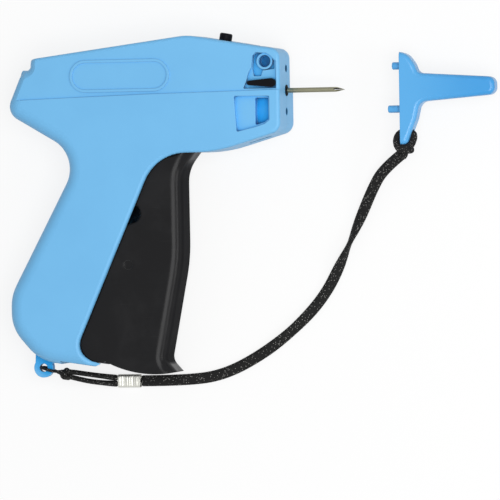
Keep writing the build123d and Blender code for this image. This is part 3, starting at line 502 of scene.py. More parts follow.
def mixed(tree, factor, first, second, blend="MIX"):
    """Colours mixed by a factor; each may be a socket or a plain colour."""
    made = node(tree, "ShaderNodeMix", data_type="RGBA", blend_type=blend)
    for socket, value in ((made.inputs[0], factor), (made.inputs[6], first), (made.inputs[7], second)):
        if isinstance(value, bpy.types.NodeSocket):
            tree.links.new(value, socket)
        elif isinstance(value, (int, float)):
            socket.default_value = value
        else:
            socket.default_value = (*value, 1.0)[:4]
    return made.outputs[2]


def effect(name, inputs, outputs):
    """A new node group: the tree, its input node's sockets and its output node's sockets."""
    tree = bpy.data.node_groups.new(name, "ShaderNodeTree")
    for label, value in inputs:
        socket = tree.interface.new_socket(label, in_out="INPUT", socket_type="NodeSocketFloat")
        socket.default_value = value
    for label, kind in outputs:
        tree.interface.new_socket(label, in_out="OUTPUT", socket_type=kind)
    given = tree.nodes.new("NodeGroupInput").outputs
    result = tree.nodes.new("NodeGroupOutput").inputs
    return tree, given, result


def use(tree, group, **values):
    """A group placed in a material, with its own values."""
    return node(tree, "ShaderNodeGroup", node_tree=group, **values).outputs


def built_once(build):
    """The node group with a function's name: built the first time, and found again after that."""
    def group():
        name = build.__name__
        if name not in bpy.data.node_groups:
            build(name)
        return bpy.data.node_groups[name]
    return group


@built_once
def mould_grain(name):
    """Spark texture of a mould: fine and coarse noise on Object coordinates, as a height and a tone."""
    tree, given, result = effect(name, (("Size", 0.0004),),
                                 (("Height", "NodeSocketFloat"), ("Tone", "NodeSocketFloat")))
    place_on = on_piece(tree)
    frequency = arithmetic(tree, "DIVIDE", 1.0, given["Size"])
    fine = node(tree, "ShaderNodeTexNoise", Detail=2.0, Roughness=0.6)
    tree.links.new(place_on, fine.inputs["Vector"])
    tree.links.new(frequency, fine.inputs["Scale"])
    coarse = node(tree, "ShaderNodeTexNoise", Scale=38.0, Detail=4.0, Roughness=0.55)
    tree.links.new(place_on, coarse.inputs["Vector"])
    tree.links.new(fine.outputs[0], result["Height"])
    tree.links.new(ramp(tree, coarse.outputs[0], 0.3, 0.7), result["Tone"])


@built_once
def soft_edges(name):
    """Edges as moulding and handling leave them: a rounded normal, and a mask where it isn't the flat one, by
    which plastics are painted lighter, as wear and painted highlight.
    """
    tree, given, result = effect(name, (("Radius", 0.0004),),
                                 (("Normal", "NodeSocketVector"), ("Edge", "NodeSocketFloat")))
    rounded = node(tree, "ShaderNodeBevel", samples=6)
    tree.links.new(given["Radius"], rounded.inputs["Radius"])
    meet = node(tree, "ShaderNodeVectorMath", operation="DOT_PRODUCT")
    tree.links.new(rounded.outputs[0], meet.inputs[0])
    tree.links.new(facing(tree), meet.inputs[1])
    tree.links.new(rounded.outputs[0], result["Normal"])
    tree.links.new(ramp(tree, meet.outputs["Value"], 0.995, 0.86), result["Edge"])


@built_once
def pocket_shade(name):
    """How deep a point lies in a pocket, bore or corner, 0 to 1, from how openly it lies."""
    tree, given, result = effect(name, (("Reach", 0.005), ("Open", 0.88), ("Closed", 0.30)),
                                 (("Depth", "NodeSocketFloat"),))
    seen = node(tree, "ShaderNodeAmbientOcclusion", samples=8)
    tree.links.new(given["Reach"], seen.inputs["Distance"])
    tree.links.new(ramp(tree, seen.outputs["AO"], given["Open"], given["Closed"]), result["Depth"])


@built_once
def pocket_floors(name):
    """How deep a walled floor that faces the right side lies below it, 0 at height Top to 1 at Bottom."""
    tree, given, result = effect(name, (("Top", 0.025), ("Bottom", 0.0205)), (("Depth", "NodeSocketFloat"),))
    level = ramp(tree, numbers(tree, facing(tree))[2], 0.5, 0.8)
    sunk = ramp(tree, numbers(tree, on_piece(tree))[2], given["Top"], given["Bottom"])
    seen = node(tree, "ShaderNodeAmbientOcclusion", samples=8, Distance=0.008)
    floor = arithmetic(tree, "MULTIPLY", level, ramp(tree, seen.outputs["AO"], 0.97, 0.85))
    tree.links.new(arithmetic(tree, "MULTIPLY", floor, sunk), result["Depth"])


@built_once
def smudges(name):
    """Faint marks of handling on a smooth surface: broad patches and thin scratches, 0 to 1."""
    tree, given, result = effect(name, (("Scale", 60.0),),
                                 (("Patches", "NodeSocketFloat"), ("Scratches", "NodeSocketFloat")))
    place_on = on_piece(tree)
    broad = node(tree, "ShaderNodeTexNoise", Detail=5.0, Roughness=0.62, Distortion=0.4)
    tree.links.new(place_on, broad.inputs["Vector"])
    tree.links.new(given["Scale"], broad.inputs["Scale"])
    turned = node(tree, "ShaderNodeMapping")
    turned.inputs["Rotation"].default_value = (0.3, 0.2, 0.9)
    turned.inputs["Scale"].default_value = (60.0, 2600.0, 400.0)
    tree.links.new(place_on, turned.inputs["Vector"])
    lines = node(tree, "ShaderNodeTexNoise", Scale=1.0, Detail=2.0)
    tree.links.new(turned.outputs[0], lines.inputs["Vector"])
    tree.links.new(ramp(tree, broad.outputs[0], 0.42, 0.68), result["Patches"])
    tree.links.new(ramp(tree, lines.outputs[0], 0.70, 0.78), result["Scratches"])


@built_once
def drawn_lines(name):
    """Fine lines of drawn or turned metal: noise stretched along X, as a height."""
    tree, given, result = effect(name, (("Fineness", 9000.0),), (("Height", "NodeSocketFloat"),))
    place_on = on_piece(tree)
    stretched = node(tree, "ShaderNodeMapping")
    stretched.inputs["Scale"].default_value = (0.03, 1.0, 1.0)
    tree.links.new(place_on, stretched.inputs["Vector"])
    lines = node(tree, "ShaderNodeTexNoise", Detail=3.0, Roughness=0.7)
    tree.links.new(stretched.outputs[0], lines.inputs["Vector"])
    tree.links.new(given["Fineness"], lines.inputs["Scale"])
    tree.links.new(lines.outputs[0], result["Height"])


@built_once
def yarn_detail(name):
    """Filaments and bright flecks of a braid, read from the piece's own map."""
    tree, given, result = effect(name, (("Stitch", 1.4), ("Yarns", 16.0)),
                                 (("Height", "NodeSocketFloat"), ("Fleck", "NodeSocketFloat")))
    read = numbers(tree, node(tree, "ShaderNodeUVMap", uv_map="Weave").outputs[0])
    along = arithmetic(tree, "DIVIDE", read[0], given["Stitch"])
    around = arithmetic(tree, "MULTIPLY", read[1], given["Yarns"])
    cells = node(tree, "ShaderNodeCombineXYZ")
    tree.links.new(along, cells.inputs[0])
    tree.links.new(around, cells.inputs[1])
    spots = node(tree, "ShaderNodeTexVoronoi", Scale=1.0, Randomness=1.0)
    tree.links.new(cells.outputs[0], spots.inputs["Vector"])
    chance = node(tree, "ShaderNodeSeparateColor")
    tree.links.new(spots.outputs["Color"], chance.inputs[0])
    chosen = ramp(tree, chance.outputs[0], 0.72, 0.78)
    near = ramp(tree, spots.outputs["Distance"], 0.42, 0.20)
    threads = node(tree, "ShaderNodeTexNoise", Scale=9.0, Detail=2.0)
    tree.links.new(cells.outputs[0], threads.inputs["Vector"])
    tree.links.new(threads.outputs[0], result["Height"])
    tree.links.new(arithmetic(tree, "MULTIPLY", chosen, near), result["Fleck"])


def blank_material(name):
    """A material with only a Principled shader and its output."""
    material = bpy.data.materials.new(name)
    material.use_nodes = True
    tree = material.node_tree
    tree.nodes.clear()
    shader = tree.nodes.new("ShaderNodeBsdfPrincipled")
    out = tree.nodes.new("ShaderNodeOutputMaterial")
    tree.links.new(shader.outputs[0], out.inputs["Surface"])
    return material, tree, shader


def raised(tree, height, distance, normal=None):
    """A normal bent by a height, over a rounded normal where one is given."""
    bump = node(tree, "ShaderNodeBump", Strength=1.0, Distance=distance)
    tree.links.new(height, bump.inputs["Height"])
    if normal is not None:
        tree.links.new(normal, bump.inputs["Normal"])
    return bump.outputs[0]


# Moulded plastic: how much painted pocket shade corners and floors take, what share of the colour a
# bore keeps under its painted shade, how dark the joint line is and how deep it runs in grains.
CORNER_SHARE, FLOOR_SHARE, BORE_SHARE = 0.40, 0.75, 0.30
JOINT_SHARE, JOINT_DEPTH = 0.22, 3.0
# Metres below the right side between which floors get painted shade, and from above to below the middle
# plane for the inside, which is painted dark as shade.
FLOOR_FROM, FLOOR_TO = 0.0010, 0.0055
INSIDE_FROM, INSIDE_TO = 0.002, -0.004
# Millimetres ahead of the muzzle between which the colour changes to the tip's painted shade.
TIP_FROM, TIP_TO = 52.0, 90.0
# Share of each colour left in the mottle, then the tones of the edges' painted highlight and wear, the
# joint line, and the inside's painted shade.
MOTTLE, EDGE_WEAR_AND_HIGHLIGHT_TONE = (0.955, 0.965, 0.975), (0.90, 0.95, 1.00)
JOINT_TONE, INSIDE_SHADE_TONE = (0.02, 0.07, 0.14), (0.001, 0.003, 0.008)
# Polished plastic: the tones of dust and of wear, the latter also the painted highlight of rubbed edges,
# and how much of them patches, scratches and rubbed edges take.
DUST_TONE, WEAR_AND_HIGHLIGHT_TONE = (0.30, 0.30, 0.31), (0.30, 0.30, 0.30)
DUST_SHARE, SCRATCH_SHARE, RUBBED_AND_LIT_SHARE = 0.012, 0.03, 0.10
# Metal: share of its colour left between the drawn lines, and the painted shade inside a bore.
DULL_SHARE, BORE_SHADE_TONE = 0.72, (0.02, 0.02, 0.02)


def moulded(name, colour, grain_size, grain_depth, roughness, joint=0.0, edge=0.0004, edge_wear_and_highlight=0.10,
            tip=None, specular=0.42, deep=None):
    """Moulded plastic: spark grain, slight tone changes, rounded edges, faintly lighter as wear and painted
    highlight.

    Where they are asked for, it has a joint line at mid height, a tip painted darker as shade, and painted
    shade in pockets and bores, deeper and bluer where light has passed from wall to wall. With a joint
    line, floors that lie low get more painted shade and the inside is painted dark as shade.
    """
    material, tree, shader = blank_material(name)
    grain = use(tree, mould_grain(), Size=grain_size)
    edges = use(tree, soft_edges(), Radius=edge)
    marks = use(tree, smudges(), Scale=42.0)
    base = tuple(colour)
    right_side, middle = CAD_BOX[1][2], MUZZLE[2] * MM
    # Painted shade: darker towards the cap's tip.
    if tip is not None:
        low, high = ((MUZZLE[0] + x) * MM for x in (TIP_FROM, TIP_TO))
        base = mixed(tree, ramp(tree, numbers(tree, on_piece(tree))[0], low, high), base, tuple(tip))
    # Painted shade: pockets, corners and bores are painted darker and bluer.
    if deep is not None:
        pocket = use(tree, pocket_shade(), Reach=0.005, Open=0.90, Closed=0.40)
        bore = use(tree, pocket_shade(), Reach=0.005, Open=0.48, Closed=0.28)
        depth = arithmetic(tree, "MULTIPLY", pocket["Depth"], CORNER_SHARE)
        sunk = mixed(tree, 1.0, base, tuple(deep), "MULTIPLY")
        # Painted shade: floors low in pockets are painted deeper still.
        if joint:
            floors = use(tree, pocket_floors(), Top=right_side - FLOOR_FROM, Bottom=right_side - FLOOR_TO)
            lower = arithmetic(tree, "MULTIPLY", floors["Depth"], FLOOR_SHARE)
            depth = arithmetic(tree, "ADD", depth, lower, clamp=True)
        base = mixed(tree, depth, base, sunk)
        base = mixed(tree, bore["Depth"], base, tuple(BORE_SHARE * c * d * d for c, d in zip(colour, deep)))
        # Painted shade: the inside of the housing is painted near black.
        if joint:
            inside = use(tree, pocket_floors(), Top=middle + INSIDE_FROM, Bottom=middle + INSIDE_TO)
            base = mixed(tree, inside["Depth"], base, INSIDE_SHADE_TONE)
    toned = mixed(tree, grain["Tone"], mixed(tree, 1.0, base, MOTTLE, "MULTIPLY"), base)
    # Edges painted lighter: painted highlight, and wear.
    marked_and_lit = mixed(tree, arithmetic(tree, "MULTIPLY", edges["Edge"], edge_wear_and_highlight), toned, EDGE_WEAR_AND_HIGHLIGHT_TONE)
    height = grain["Height"]
    if joint:
        above = arithmetic(tree, "SUBTRACT", numbers(tree, on_piece(tree))[2], middle)
        line = ramp(tree, arithmetic(tree, "ABSOLUTE", above), joint, joint * 0.35)
        marked_and_lit = mixed(tree, arithmetic(tree, "MULTIPLY", line, JOINT_SHARE), marked_and_lit, JOINT_TONE)
        height = arithmetic(tree, "SUBTRACT", height, arithmetic(tree, "MULTIPLY", line, JOINT_DEPTH))
    tree.links.new(marked_and_lit, shader.inputs["Base Color"])
    rough = arithmetic(tree, "MULTIPLY_ADD", marks["Patches"], 0.06, roughness)
    tree.links.new(rough, shader.inputs["Roughness"])
    tree.links.new(raised(tree, height, grain_depth, edges["Normal"]), shader.inputs["Normal"])
    shader.inputs["Specular IOR Level"].default_value = specular
    return material


def polished(name, colour, roughness, front, edge, specular):
    """Polished plastic: slight waviness, faint smudges and scratches, rounded edges that catch the light, and
    crisp edges painted lighter as wear and painted highlight.

    The front value is the roughness of the face towards the muzzle.
    """
    material, tree, shader = blank_material(name)
    edges = use(tree, soft_edges(), Radius=edge)
    crisp = use(tree, soft_edges(), Radius=0.0003)
    marks = use(tree, smudges(), Scale=55.0)
    grain = use(tree, mould_grain(), Size=0.004)
    tone = tuple(colour)
    # Dust and scratches are marks of handling; rubbed edges are painted lighter, as wear and painted
    # highlight.
    for mark, share, marked_and_lit in ((marks["Patches"], DUST_SHARE, DUST_TONE),
                              (marks["Scratches"], SCRATCH_SHARE, WEAR_AND_HIGHLIGHT_TONE),
                              (crisp["Edge"], RUBBED_AND_LIT_SHARE, WEAR_AND_HIGHLIGHT_TONE)):
        tone = mixed(tree, arithmetic(tree, "MULTIPLY", mark, share), tone, marked_and_lit)
    tree.links.new(tone, shader.inputs["Base Color"])
    rough = arithmetic(tree, "MULTIPLY_ADD", marks["Patches"], 0.10, roughness)
    rough = ramp(tree, numbers(tree, facing(tree))[0], 0.72, 0.96, rough, front)
    tree.links.new(rough, shader.inputs["Roughness"])
    tree.links.new(raised(tree, grain["Height"], 0.00003, edges["Normal"]), shader.inputs["Normal"])
    shader.inputs["Specular IOR Level"].default_value = specular
    return material


def metal(name, colour, roughness, fineness, depth, bore=0.0):
    """Metal with drawn lines, darker in the lines, softly broken edges, and painted shade inside a narrow
    bore.
    """
    material, tree, shader = blank_material(name)
    lines = use(tree, drawn_lines(), Fineness=fineness)
    edges = use(tree, soft_edges(), Radius=0.00012)
    marks = use(tree, smudges(), Scale=120.0)
    dull = tuple(DULL_SHARE * c for c in colour)
    drawn = mixed(tree, lines["Height"], dull, tuple(colour))
    # Painted shade: a narrow bore is painted dark inside.
    if bore:
        pocket = use(tree, pocket_shade(), Reach=bore, Open=0.80, Closed=0.45)
        drawn = mixed(tree, pocket["Depth"], drawn, BORE_SHADE_TONE)
    tree.links.new(drawn, shader.inputs["Base Color"])
    rough = arithmetic(tree, "MULTIPLY_ADD", marks["Patches"], 0.12, roughness)
    tree.links.new(rough, shader.inputs["Roughness"])
    tree.links.new(raised(tree, lines["Height"], depth, edges["Normal"]), shader.inputs["Normal"])
    shader.inputs["Metallic"].default_value = 1.0
    return material


def braid(name, settings, yarn_count):
    """Black braid: matt yarn with fine filaments, painted shade in their hollows and painted light on their
    crowns, and a few bright flecks, of bright filaments and painted glints.
    """
    if name in bpy.data.materials:
        return bpy.data.materials[name]
    material, tree, shader = blank_material(name)
    detail = use(tree, yarn_detail(), Stitch=settings.stitch / MM * 0.28, Yarns=1.25 * yarn_count)
    # Painted shade and light: darker in the filaments' hollows, lighter on their crowns.
    shaded_hollow, lit_crown = (tuple(share * c for c in settings.colour) for share in (0.5, 1.7))
    tone = mixed(tree, detail["Height"], shaded_hollow, lit_crown)
    # Bright flecks: bright filaments, and painted glints.
    flecked = mixed(tree, detail["Fleck"], tone, tuple(settings.fleck_colour))
    tree.links.new(flecked, shader.inputs["Base Color"])
    shader.inputs["Roughness"].default_value = 0.62
    shader.inputs["Specular IOR Level"].default_value = 0.14
    shader.inputs["Sheen Weight"].default_value = 0.02
    tree.links.new(raised(tree, detail["Height"], 0.00008), shader.inputs["Normal"])
    return material


def paint(names, material):
    """A material on the nodes of the frame."""
    for name in names:
        mesh = NODES[name].data
        mesh.materials.clear()
        mesh.materials.append(material)


def aimed(right, up, back, spot):
    """Matrix of a camera or lamp at a spot: its right, up and back axes are the first three columns."""
    columns = np.eye(4)
    columns[:3] = np.stack([right, up, back, spot], axis=1)
    return Matrix(columns.tolist())


# ---------------------------------------------------------------- operators


class TAGATTACHER_OT_studio(bpy.types.Operator):
    """Camera, plain pale floor, soft sky, a large lamp above and a smaller one beside the muzzle"""

    bl_idname = "tagattacher.studio"
    bl_label = "Studio"

    def execute(self, context):
        s = context.scene.tag_studio
        scene = context.scene
        scene.view_settings.view_transform = "Standard"
        # Camera: back is the way from the tool to the camera, right and up lie in the picture.
        back = np.array((math.sin(s.turn) * math.cos(s.lift), math.sin(s.lift),
                         math.cos(s.turn) * math.cos(s.lift)))
        up = unit(np.array((0.0, 1.0, 0.0)) - back * back[1])
        right = np.cross(up, back)
        right, up = (math.cos(s.roll) * right - math.sin(s.roll) * up,
                     math.cos(s.roll) * up + math.sin(s.roll) * right)
        across, down = MUZZLE_IN_PICTURE
        middle = MUZZLE * MM - right * (across - 0.5) * s.width - up * (0.5 - down) * s.width
        data = bpy.data.cameras.new("camera")
        data.sensor_width = 36.0
        data.lens = 36.0 * s.distance / s.width
        data.clip_start, data.clip_end = 0.01, 20.0
        camera = bpy.data.objects.new("camera", data)
        scene.collection.objects.link(camera)
        camera.matrix_world = aimed(right, up, back, middle + back * s.distance)
        scene.camera = camera
        # Floor a hair below the resting side, with corners three metres out.
        far = 3.0
        mesh = bpy.data.meshes.new("floor")
        mesh.from_pydata([(-far, -far, 0), (far, -far, 0), (far, far, 0), (-far, far, 0)], [], [(0, 1, 2, 3)])
        floor = bpy.data.objects.new("floor", mesh)
        scene.collection.objects.link(floor)
        floor.location.z = -0.00005
        material = bpy.data.materials.new("floor_paper")
        material.use_nodes = True
        tree = material.node_tree
        tree.nodes.clear()
        paper = node(tree, "ShaderNodeBsdfPrincipled", Roughness=0.9)
        paper.inputs["Specular IOR Level"].default_value = 0.1
        glow = node(tree, "ShaderNodeEmission", Strength=1.0)
        rays = node(tree, "ShaderNodeLightPath")
        seen = arithmetic(tree, "MAXIMUM", rays.outputs["Is Glossy Ray"], rays.outputs["Is Transmission Ray"])
        direct = arithmetic(tree, "MULTIPLY", rays.outputs["Is Camera Ray"], SEEN_GLOW)
        share = arithmetic(tree, "MAXIMUM", direct, arithmetic(tree, "MULTIPLY", seen, MIRRORED_GLOW))
        seen = arithmetic(tree, "MAXIMUM", seen, rays.outputs["Is Camera Ray"])
        tone = mixed(tree, seen, (0.55, 0.55, 0.55), (0.96, 0.96, 0.96))
        tree.links.new(tone, paper.inputs["Base Color"])
        blend = node(tree, "ShaderNodeMixShader")
        tree.links.new(share, blend.inputs[0])
        tree.links.new(paper.outputs[0], blend.inputs[1])
        tree.links.new(glow.outputs[0], blend.inputs[2])
        out = node(tree, "ShaderNodeOutputMaterial")
        tree.links.new(blend.outputs[0], out.inputs["Surface"])
        mesh.materials.append(material)
        # Sky: an even white, brighter where it is seen than where it lights.
        world = bpy.data.worlds.new("sky")
        scene.world = world
        world.use_nodes = True
        tree = world.node_tree
        tree.nodes.clear()
        rays = node(tree, "ShaderNodeLightPath")
        seen = arithmetic(tree, "MAXIMUM", rays.outputs["Is Camera Ray"], rays.outputs["Is Glossy Ray"])
        seen = arithmetic(tree, "MAXIMUM", seen, rays.outputs["Is Transmission Ray"])
        strength = ramp(tree, seen, 0.0, 1.0, s.sky, 1.0)
        background = node(tree, "ShaderNodeBackground")
        background.inputs["Color"].default_value = (1.0, 1.0, 1.0, 1.0)
        tree.links.new(strength, background.inputs["Strength"])
        out = node(tree, "ShaderNodeOutputWorld")
        tree.links.new(background.outputs[0], out.inputs["Surface"])
        # Lamps, both aimed at the middle of the tool.
        for name, (spot, wide, high), power in (("key", KEY_LAMP, s.key), ("side", SIDE_LAMP, s.side)):
            lamp = bpy.data.lights.new(name, "AREA")
            lamp.energy = power
            lamp.shape = "RECTANGLE"
            lamp.size, lamp.size_y = wide, high
            holder = bpy.data.objects.new(name, lamp)
            scene.collection.objects.link(holder)
            away = unit(np.subtract(spot, LAMP_AIM))
            across = unit(np.cross((0.0, 1.0, 0.0), away))
            holder.matrix_world = aimed(across, np.cross(away, across), away, spot)
        return {"FINISHED"}


class TAGATTACHER_OT_cord(bpy.types.Operator):
    """Flat braided cord from the ferrule to the knot at the cap, with a lean and a half twist"""

    bl_idname = "tagattacher.cord"
    bl_label = "Cap cord"

    def execute(self, context):
        s = context.scene.tag_cord
        line, along = evenly(smooth_line(in_frame(CORD_ROUTE, on_table=True)), CORD_STEP)
        # The flat braid leans over and back, then makes half a turn in a smooth step.
        step = np.clip((along - TWIST_AT) / TWIST_OVER + 0.5, 0.0, 1.0)
        turn = math.pi * step * step * (3.0 - 2.0 * step)
        turn += LEAN * np.exp(-((along - LEAN_AT) / LEAN_OVER) ** 2)
        on_table = np.clip((LEAVES_AT - along) / LEAVES_OVER, 0.0, 1.0)
        lift = 0.5 * (s.width - s.thickness) * np.abs(np.sin(turn)) * on_table
        line = line + np.stack([0 * lift, 0 * lift, lift], axis=1)
        mesh = braided_tube("braided_cord", line, along, s.width / 2, s.thickness / 2, 2.6, turn, s,
                            CORD_YARNS, upward=(0.0, 0.0, 1.0))
        piece = place("braided_cord", mesh, braid("black_braid", s, CORD_YARNS), None, "cord_black")
        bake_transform(piece)
        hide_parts("cap_cord")
        return {"FINISHED"}


class TAGATTACHER_OT_cord_knot(bpy.types.Operator):
    """Loop of the cord through the cap's tab, the collar that ties it, and the cut tail"""

    bl_idname = "tagattacher.cord_knot"
    bl_label = "Cap knot"

    def execute(self, context):
        s = context.scene.tag_cord
        material = braid("black_braid", s, CORD_YARNS)
        turns = np.linspace(0.0, 1.0, 121)
        # Loop: up behind the tab, in at its open face, out of its hole and down in front.
        loop = np.array(((53.0, -26.2, 0.4), (50.2, -26.0, 0.6), (48.4, -24.3, 0.5), (48.5, -21.4, 0.2),
                         (50.0, -19.2, 0.0), (52.8, -18.9, 0.0), (54.9, -19.2, 0.0), (56.1, -20.5, -0.1),
                         (55.2, -23.4, -0.2), (54.0, -25.2, -0.3), (52.6, -25.9, -0.4)))
        # Collar: one and a half turns about the foot of the loop.
        angle = 2 * np.pi * (1.5 * turns)
        collar = COLLAR_AT + np.stack([2.5 * np.cos(angle) + 0.8 * (turns - 0.5),
                                       0.6 * np.sin(2 * np.pi * turns), 2.3 * np.sin(angle)], 1)
        tail = np.array(((52.0, -26.8, 0.6), (52.2, -28.2, 1.3), (51.6, -29.4, 1.8), (50.5, -30.0, 2.0)))
        for name, points, half, power in (("cord_loop", loop, 1.60, 2.2), ("cord_collar", collar, 1.55, 2.2),
                                          ("cord_tail", tail, 1.50, 2.4)):
            line, along = evenly(smooth_line(in_frame(points)), KNOT_STEP)
            wide = half * MM * np.ones_like(along)
            mesh = braided_tube(name, line, along, wide, wide * 0.86, power, 0 * along, s, KNOT_YARNS,
                                upward=(0.13, 0.21, 0.97))
            piece = place(name, mesh, material, "cap_body", "cord_black")
            if name == "cord_loop":
                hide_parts("cord_knot")
        return {"FINISHED"}


class TAGATTACHER_OT_string(bpy.types.Operator):
    """String from the ferrule through the lanyard ring and back, with the hitch round both strands"""

    bl_idname = "tagattacher.string"
    bl_label = "String"

    def execute(self, context):
        s = context.scene.tag_cord
        material = braid("black_string", s, STRING_FILAMENTS)
        line, along = evenly(smooth_line(in_frame(STRING_ROUTE, on_table=True)), STRING_STEP)
        # The strands are 1.22 times as thick by the ferrule and drawn to 0.58 where they pass the ring.
        middle = np.abs(along / along[-1] - 0.5)
        thin = np.clip((middle - 0.13) / 0.06, 0.0, 1.0)
        near = np.exp(-(np.minimum(along, along[-1] - along) / 0.006) ** 2)
        half = 0.5 * s.string * (0.58 + 0.42 * thin * thin * (3.0 - 2.0 * thin)) * (1.0 + 0.22 * near)
        mesh = braided_tube("lanyard_string", line, along, half, half * 0.9, 2.2, 0 * along, s,
                            STRING_YARNS, upward=(0.25, 0.85, 0.45))
        piece = place("lanyard_string", mesh, material, "housing", "cord_black")
        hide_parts("string_strand_a", "string_strand_b", "string_loop")
        # Hitch: a little over one and a half turns about both strands.
        turns = np.linspace(0.0, 1.0, 121)
        angle = 2 * np.pi * (1.6 * turns + 0.1)
        hitch = HITCH_AT + np.stack([2.2 * (turns - 0.5) - 0.5 * np.sin(angle),
                                     1.75 * np.cos(angle) - 0.25 * (turns - 0.5),
                                     2.3 * np.sin(angle)], 1)
        wrap, run = evenly(smooth_line(in_frame(hitch)), STRING_STEP)
        wide = 0.95 * MM * np.ones_like(run)
        mesh = braided_tube("string_hitch", wrap, run, wide, wide * 0.9, 2.2, 0 * run, s,
                            STRING_YARNS, upward=(0.97, -0.2, 0.1))
        knot = place("string_hitch", mesh, material, "housing", "cord_black")
        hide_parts("string_knot")
        return {"FINISHED"}


class TAGATTACHER_OT_ferrule(bpy.types.Operator):
    """Pressed sleeve that joins the string to the flat cord"""

    bl_idname = "tagattacher.ferrule"
    bl_label = "Ferrule"

    def execute(self, context):
        s = context.scene.tag_metal
        length, wall = s.ferrule_length, s.ferrule_wall
        start = in_frame(FERRULE_REAR, on_table=True)
        # Profile along the sleeve: in from the mouth, round the lip, over the outside and in again.
        lip = np.linspace(0.0, np.pi, 9)
        mouth = np.stack([wall / 2 * (1 - np.sin(lip)), -wall / 2 * (1 + np.cos(lip))], 1)
        outside = np.linspace(wall, length - wall, 70)
        body = np.stack([outside, np.zeros_like(outside)], 1)
        far = np.stack([length - mouth[::-1, 0], mouth[::-1, 1]], 1)
        inner = np.array(((FERRULE_MOUTH, -wall), (length - FERRULE_MOUTH, -wall)))
        profile = np.concatenate([inner[:1], mouth, body, far, inner[1:]])
        # Pressing leaves shallow waves across the sleeve and two deeper grooves.
        x = profile[:, 0]
        dent = 0.00016 * sum(np.exp(-((x - length * at) / 0.0007) ** 2) for at in (0.30, 0.70))
        dent += 0.00005 * np.sin(x / 0.0011 * 2 * np.pi) * (profile[:, 1] > -1e-9)
        turns = np.arange(72)[None, :] / 72
        side, up = superellipse(turns, 1.0, 1.0, 4.5)
        wide = (FERRULE_WIDE + profile[:, 1])[:, None]
        tall = (FERRULE_TALL + profile[:, 1] - dent)[:, None]
        grid = np.stack([start[0] + x[:, None] + 0 * turns, start[1] + side * wide, start[2] + up * tall], -1)
        run = np.r_[0.0, np.cumsum(np.linalg.norm(np.diff(profile, axis=0), axis=1))]
        poles = (start + (x[0], 0, 0), start + (x[-1], 0, 0))
        mesh = skin("pressed_sleeve", grid, run, poles)
        material = metal("pressed_aluminium", s.ferrule_colour, 0.40, 5200.0, 0.00001)
        piece = place("pressed_sleeve", mesh, material, "housing", "ferrule_silver")
        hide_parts("ferrule")
        return {"FINISHED"}


class TAGATTACHER_OT_screws(bpy.types.Operator):
    """Four cross-recess screws in their seats in the left side"""

    bl_idname = "tagattacher.screws"
    bl_label = "Housing screws"

    def execute(self, context):
        s = context.scene.tag_metal
        material = metal("plated_screw", s.steel_colour, 0.30, 7000.0, 0.000004)
        radius = s.screw_head / 2
        reach = np.concatenate([np.linspace(0.04, 0.86, 30), np.linspace(0.88, 1.0, 9)])
        turns = np.arange(96) / 96
        for number, (x, y, spin) in enumerate(SCREWS):
            # Head: a low dome, 0.62 + 0.38 * (1 - (r/R)^4) of its height, less a cross with sloping walls.
            r, flat = reach[:, None] * radius, 2 * np.pi * turns[None, :]
            angle = flat + 2 * np.pi * spin
            u, v = r * np.cos(flat), r * np.sin(flat)
            arm = np.minimum(np.abs(u), np.abs(v))
            cut = np.clip((CROSS_HALF - arm) / CROSS_SLOPE, 0.0, 1.0)
            cut *= np.clip((CROSS_REACH - r) / CROSS_END, 0.0, 1.0)
            height = SCREW_RISE * (0.62 + 0.38 * (1 - (r / radius) ** 4)) - CROSS_DEPTH * cut
            side = np.linspace(0.55, 0.0, 5)[:, None] * SCREW_RISE + 0 * angle
            # The left side faces down, so the head grows towards lower z, and its rings run the other way.
            seat = in_frame((x, y, SCREW_SEAT))
            out = np.concatenate([r + 0 * angle, radius + 0 * side])
            up = np.concatenate([height, side])
            spun = np.concatenate([angle + 0 * r, angle + 0 * side])
            grid = np.stack([seat[0] + out * np.cos(spun), seat[1] + out * np.sin(spun), seat[2] - up], -1)
            run = np.r_[reach * radius, radius + SCREW_RISE * np.linspace(0.45, 1.0, 5)]
            poles = ((seat[0], seat[1], seat[2] - height[0].mean()), seat)
            mesh = skin(f"screw_{number + 1}", grid, run, poles)
            place(f"screw_{number + 1}", mesh, material, "housing", "steel")
        return {"FINISHED"}


class TAGATTACHER_OT_housing(bpy.types.Operator):
    """Pale blue finish of the two shells and the fastener guide"""

    bl_idname = "tagattacher.housing"
    bl_label = "Housing finish"

    def execute(self, context):
        s = context.scene.tag_housing
        material = moulded("pale_blue_moulding", s.colour, s.grain_size, s.grain_depth, 0.36,
                           joint=s.joint_width, deep=s.deep_tint, specular=0.27)
        paint(("left_shell", "right_shell", "fastener_guide"), material)
        return {"FINISHED"}


class TAGATTACHER_OT_cap(bpy.types.Operator):
    """Deeper blue finish of the needle cap"""

    bl_idname = "tagattacher.cap"
    bl_label = "Cap finish"

    def execute(self, context):
        s = context.scene.tag_cap
        paint(("needle_cap",), moulded("deep_blue_moulding", s.colour, 0.0006, 0.000006, 0.22,
                                       tip=s.deep_colour, deep=s.deep_tint, specular=0.45))
        return {"FINISHED"}


class TAGATTACHER_OT_trigger(bpy.types.Operator):
    """Polished black finish of the trigger"""

    bl_idname = "tagattacher.trigger"
    bl_label = "Trigger finish"

    def execute(self, context):
        s = context.scene.tag_trigger
        paint(("trigger",),
              polished("polished_black", s.colour, 0.17, front=0.95, edge=0.0014, specular=0.14))
        return {"FINISHED"}


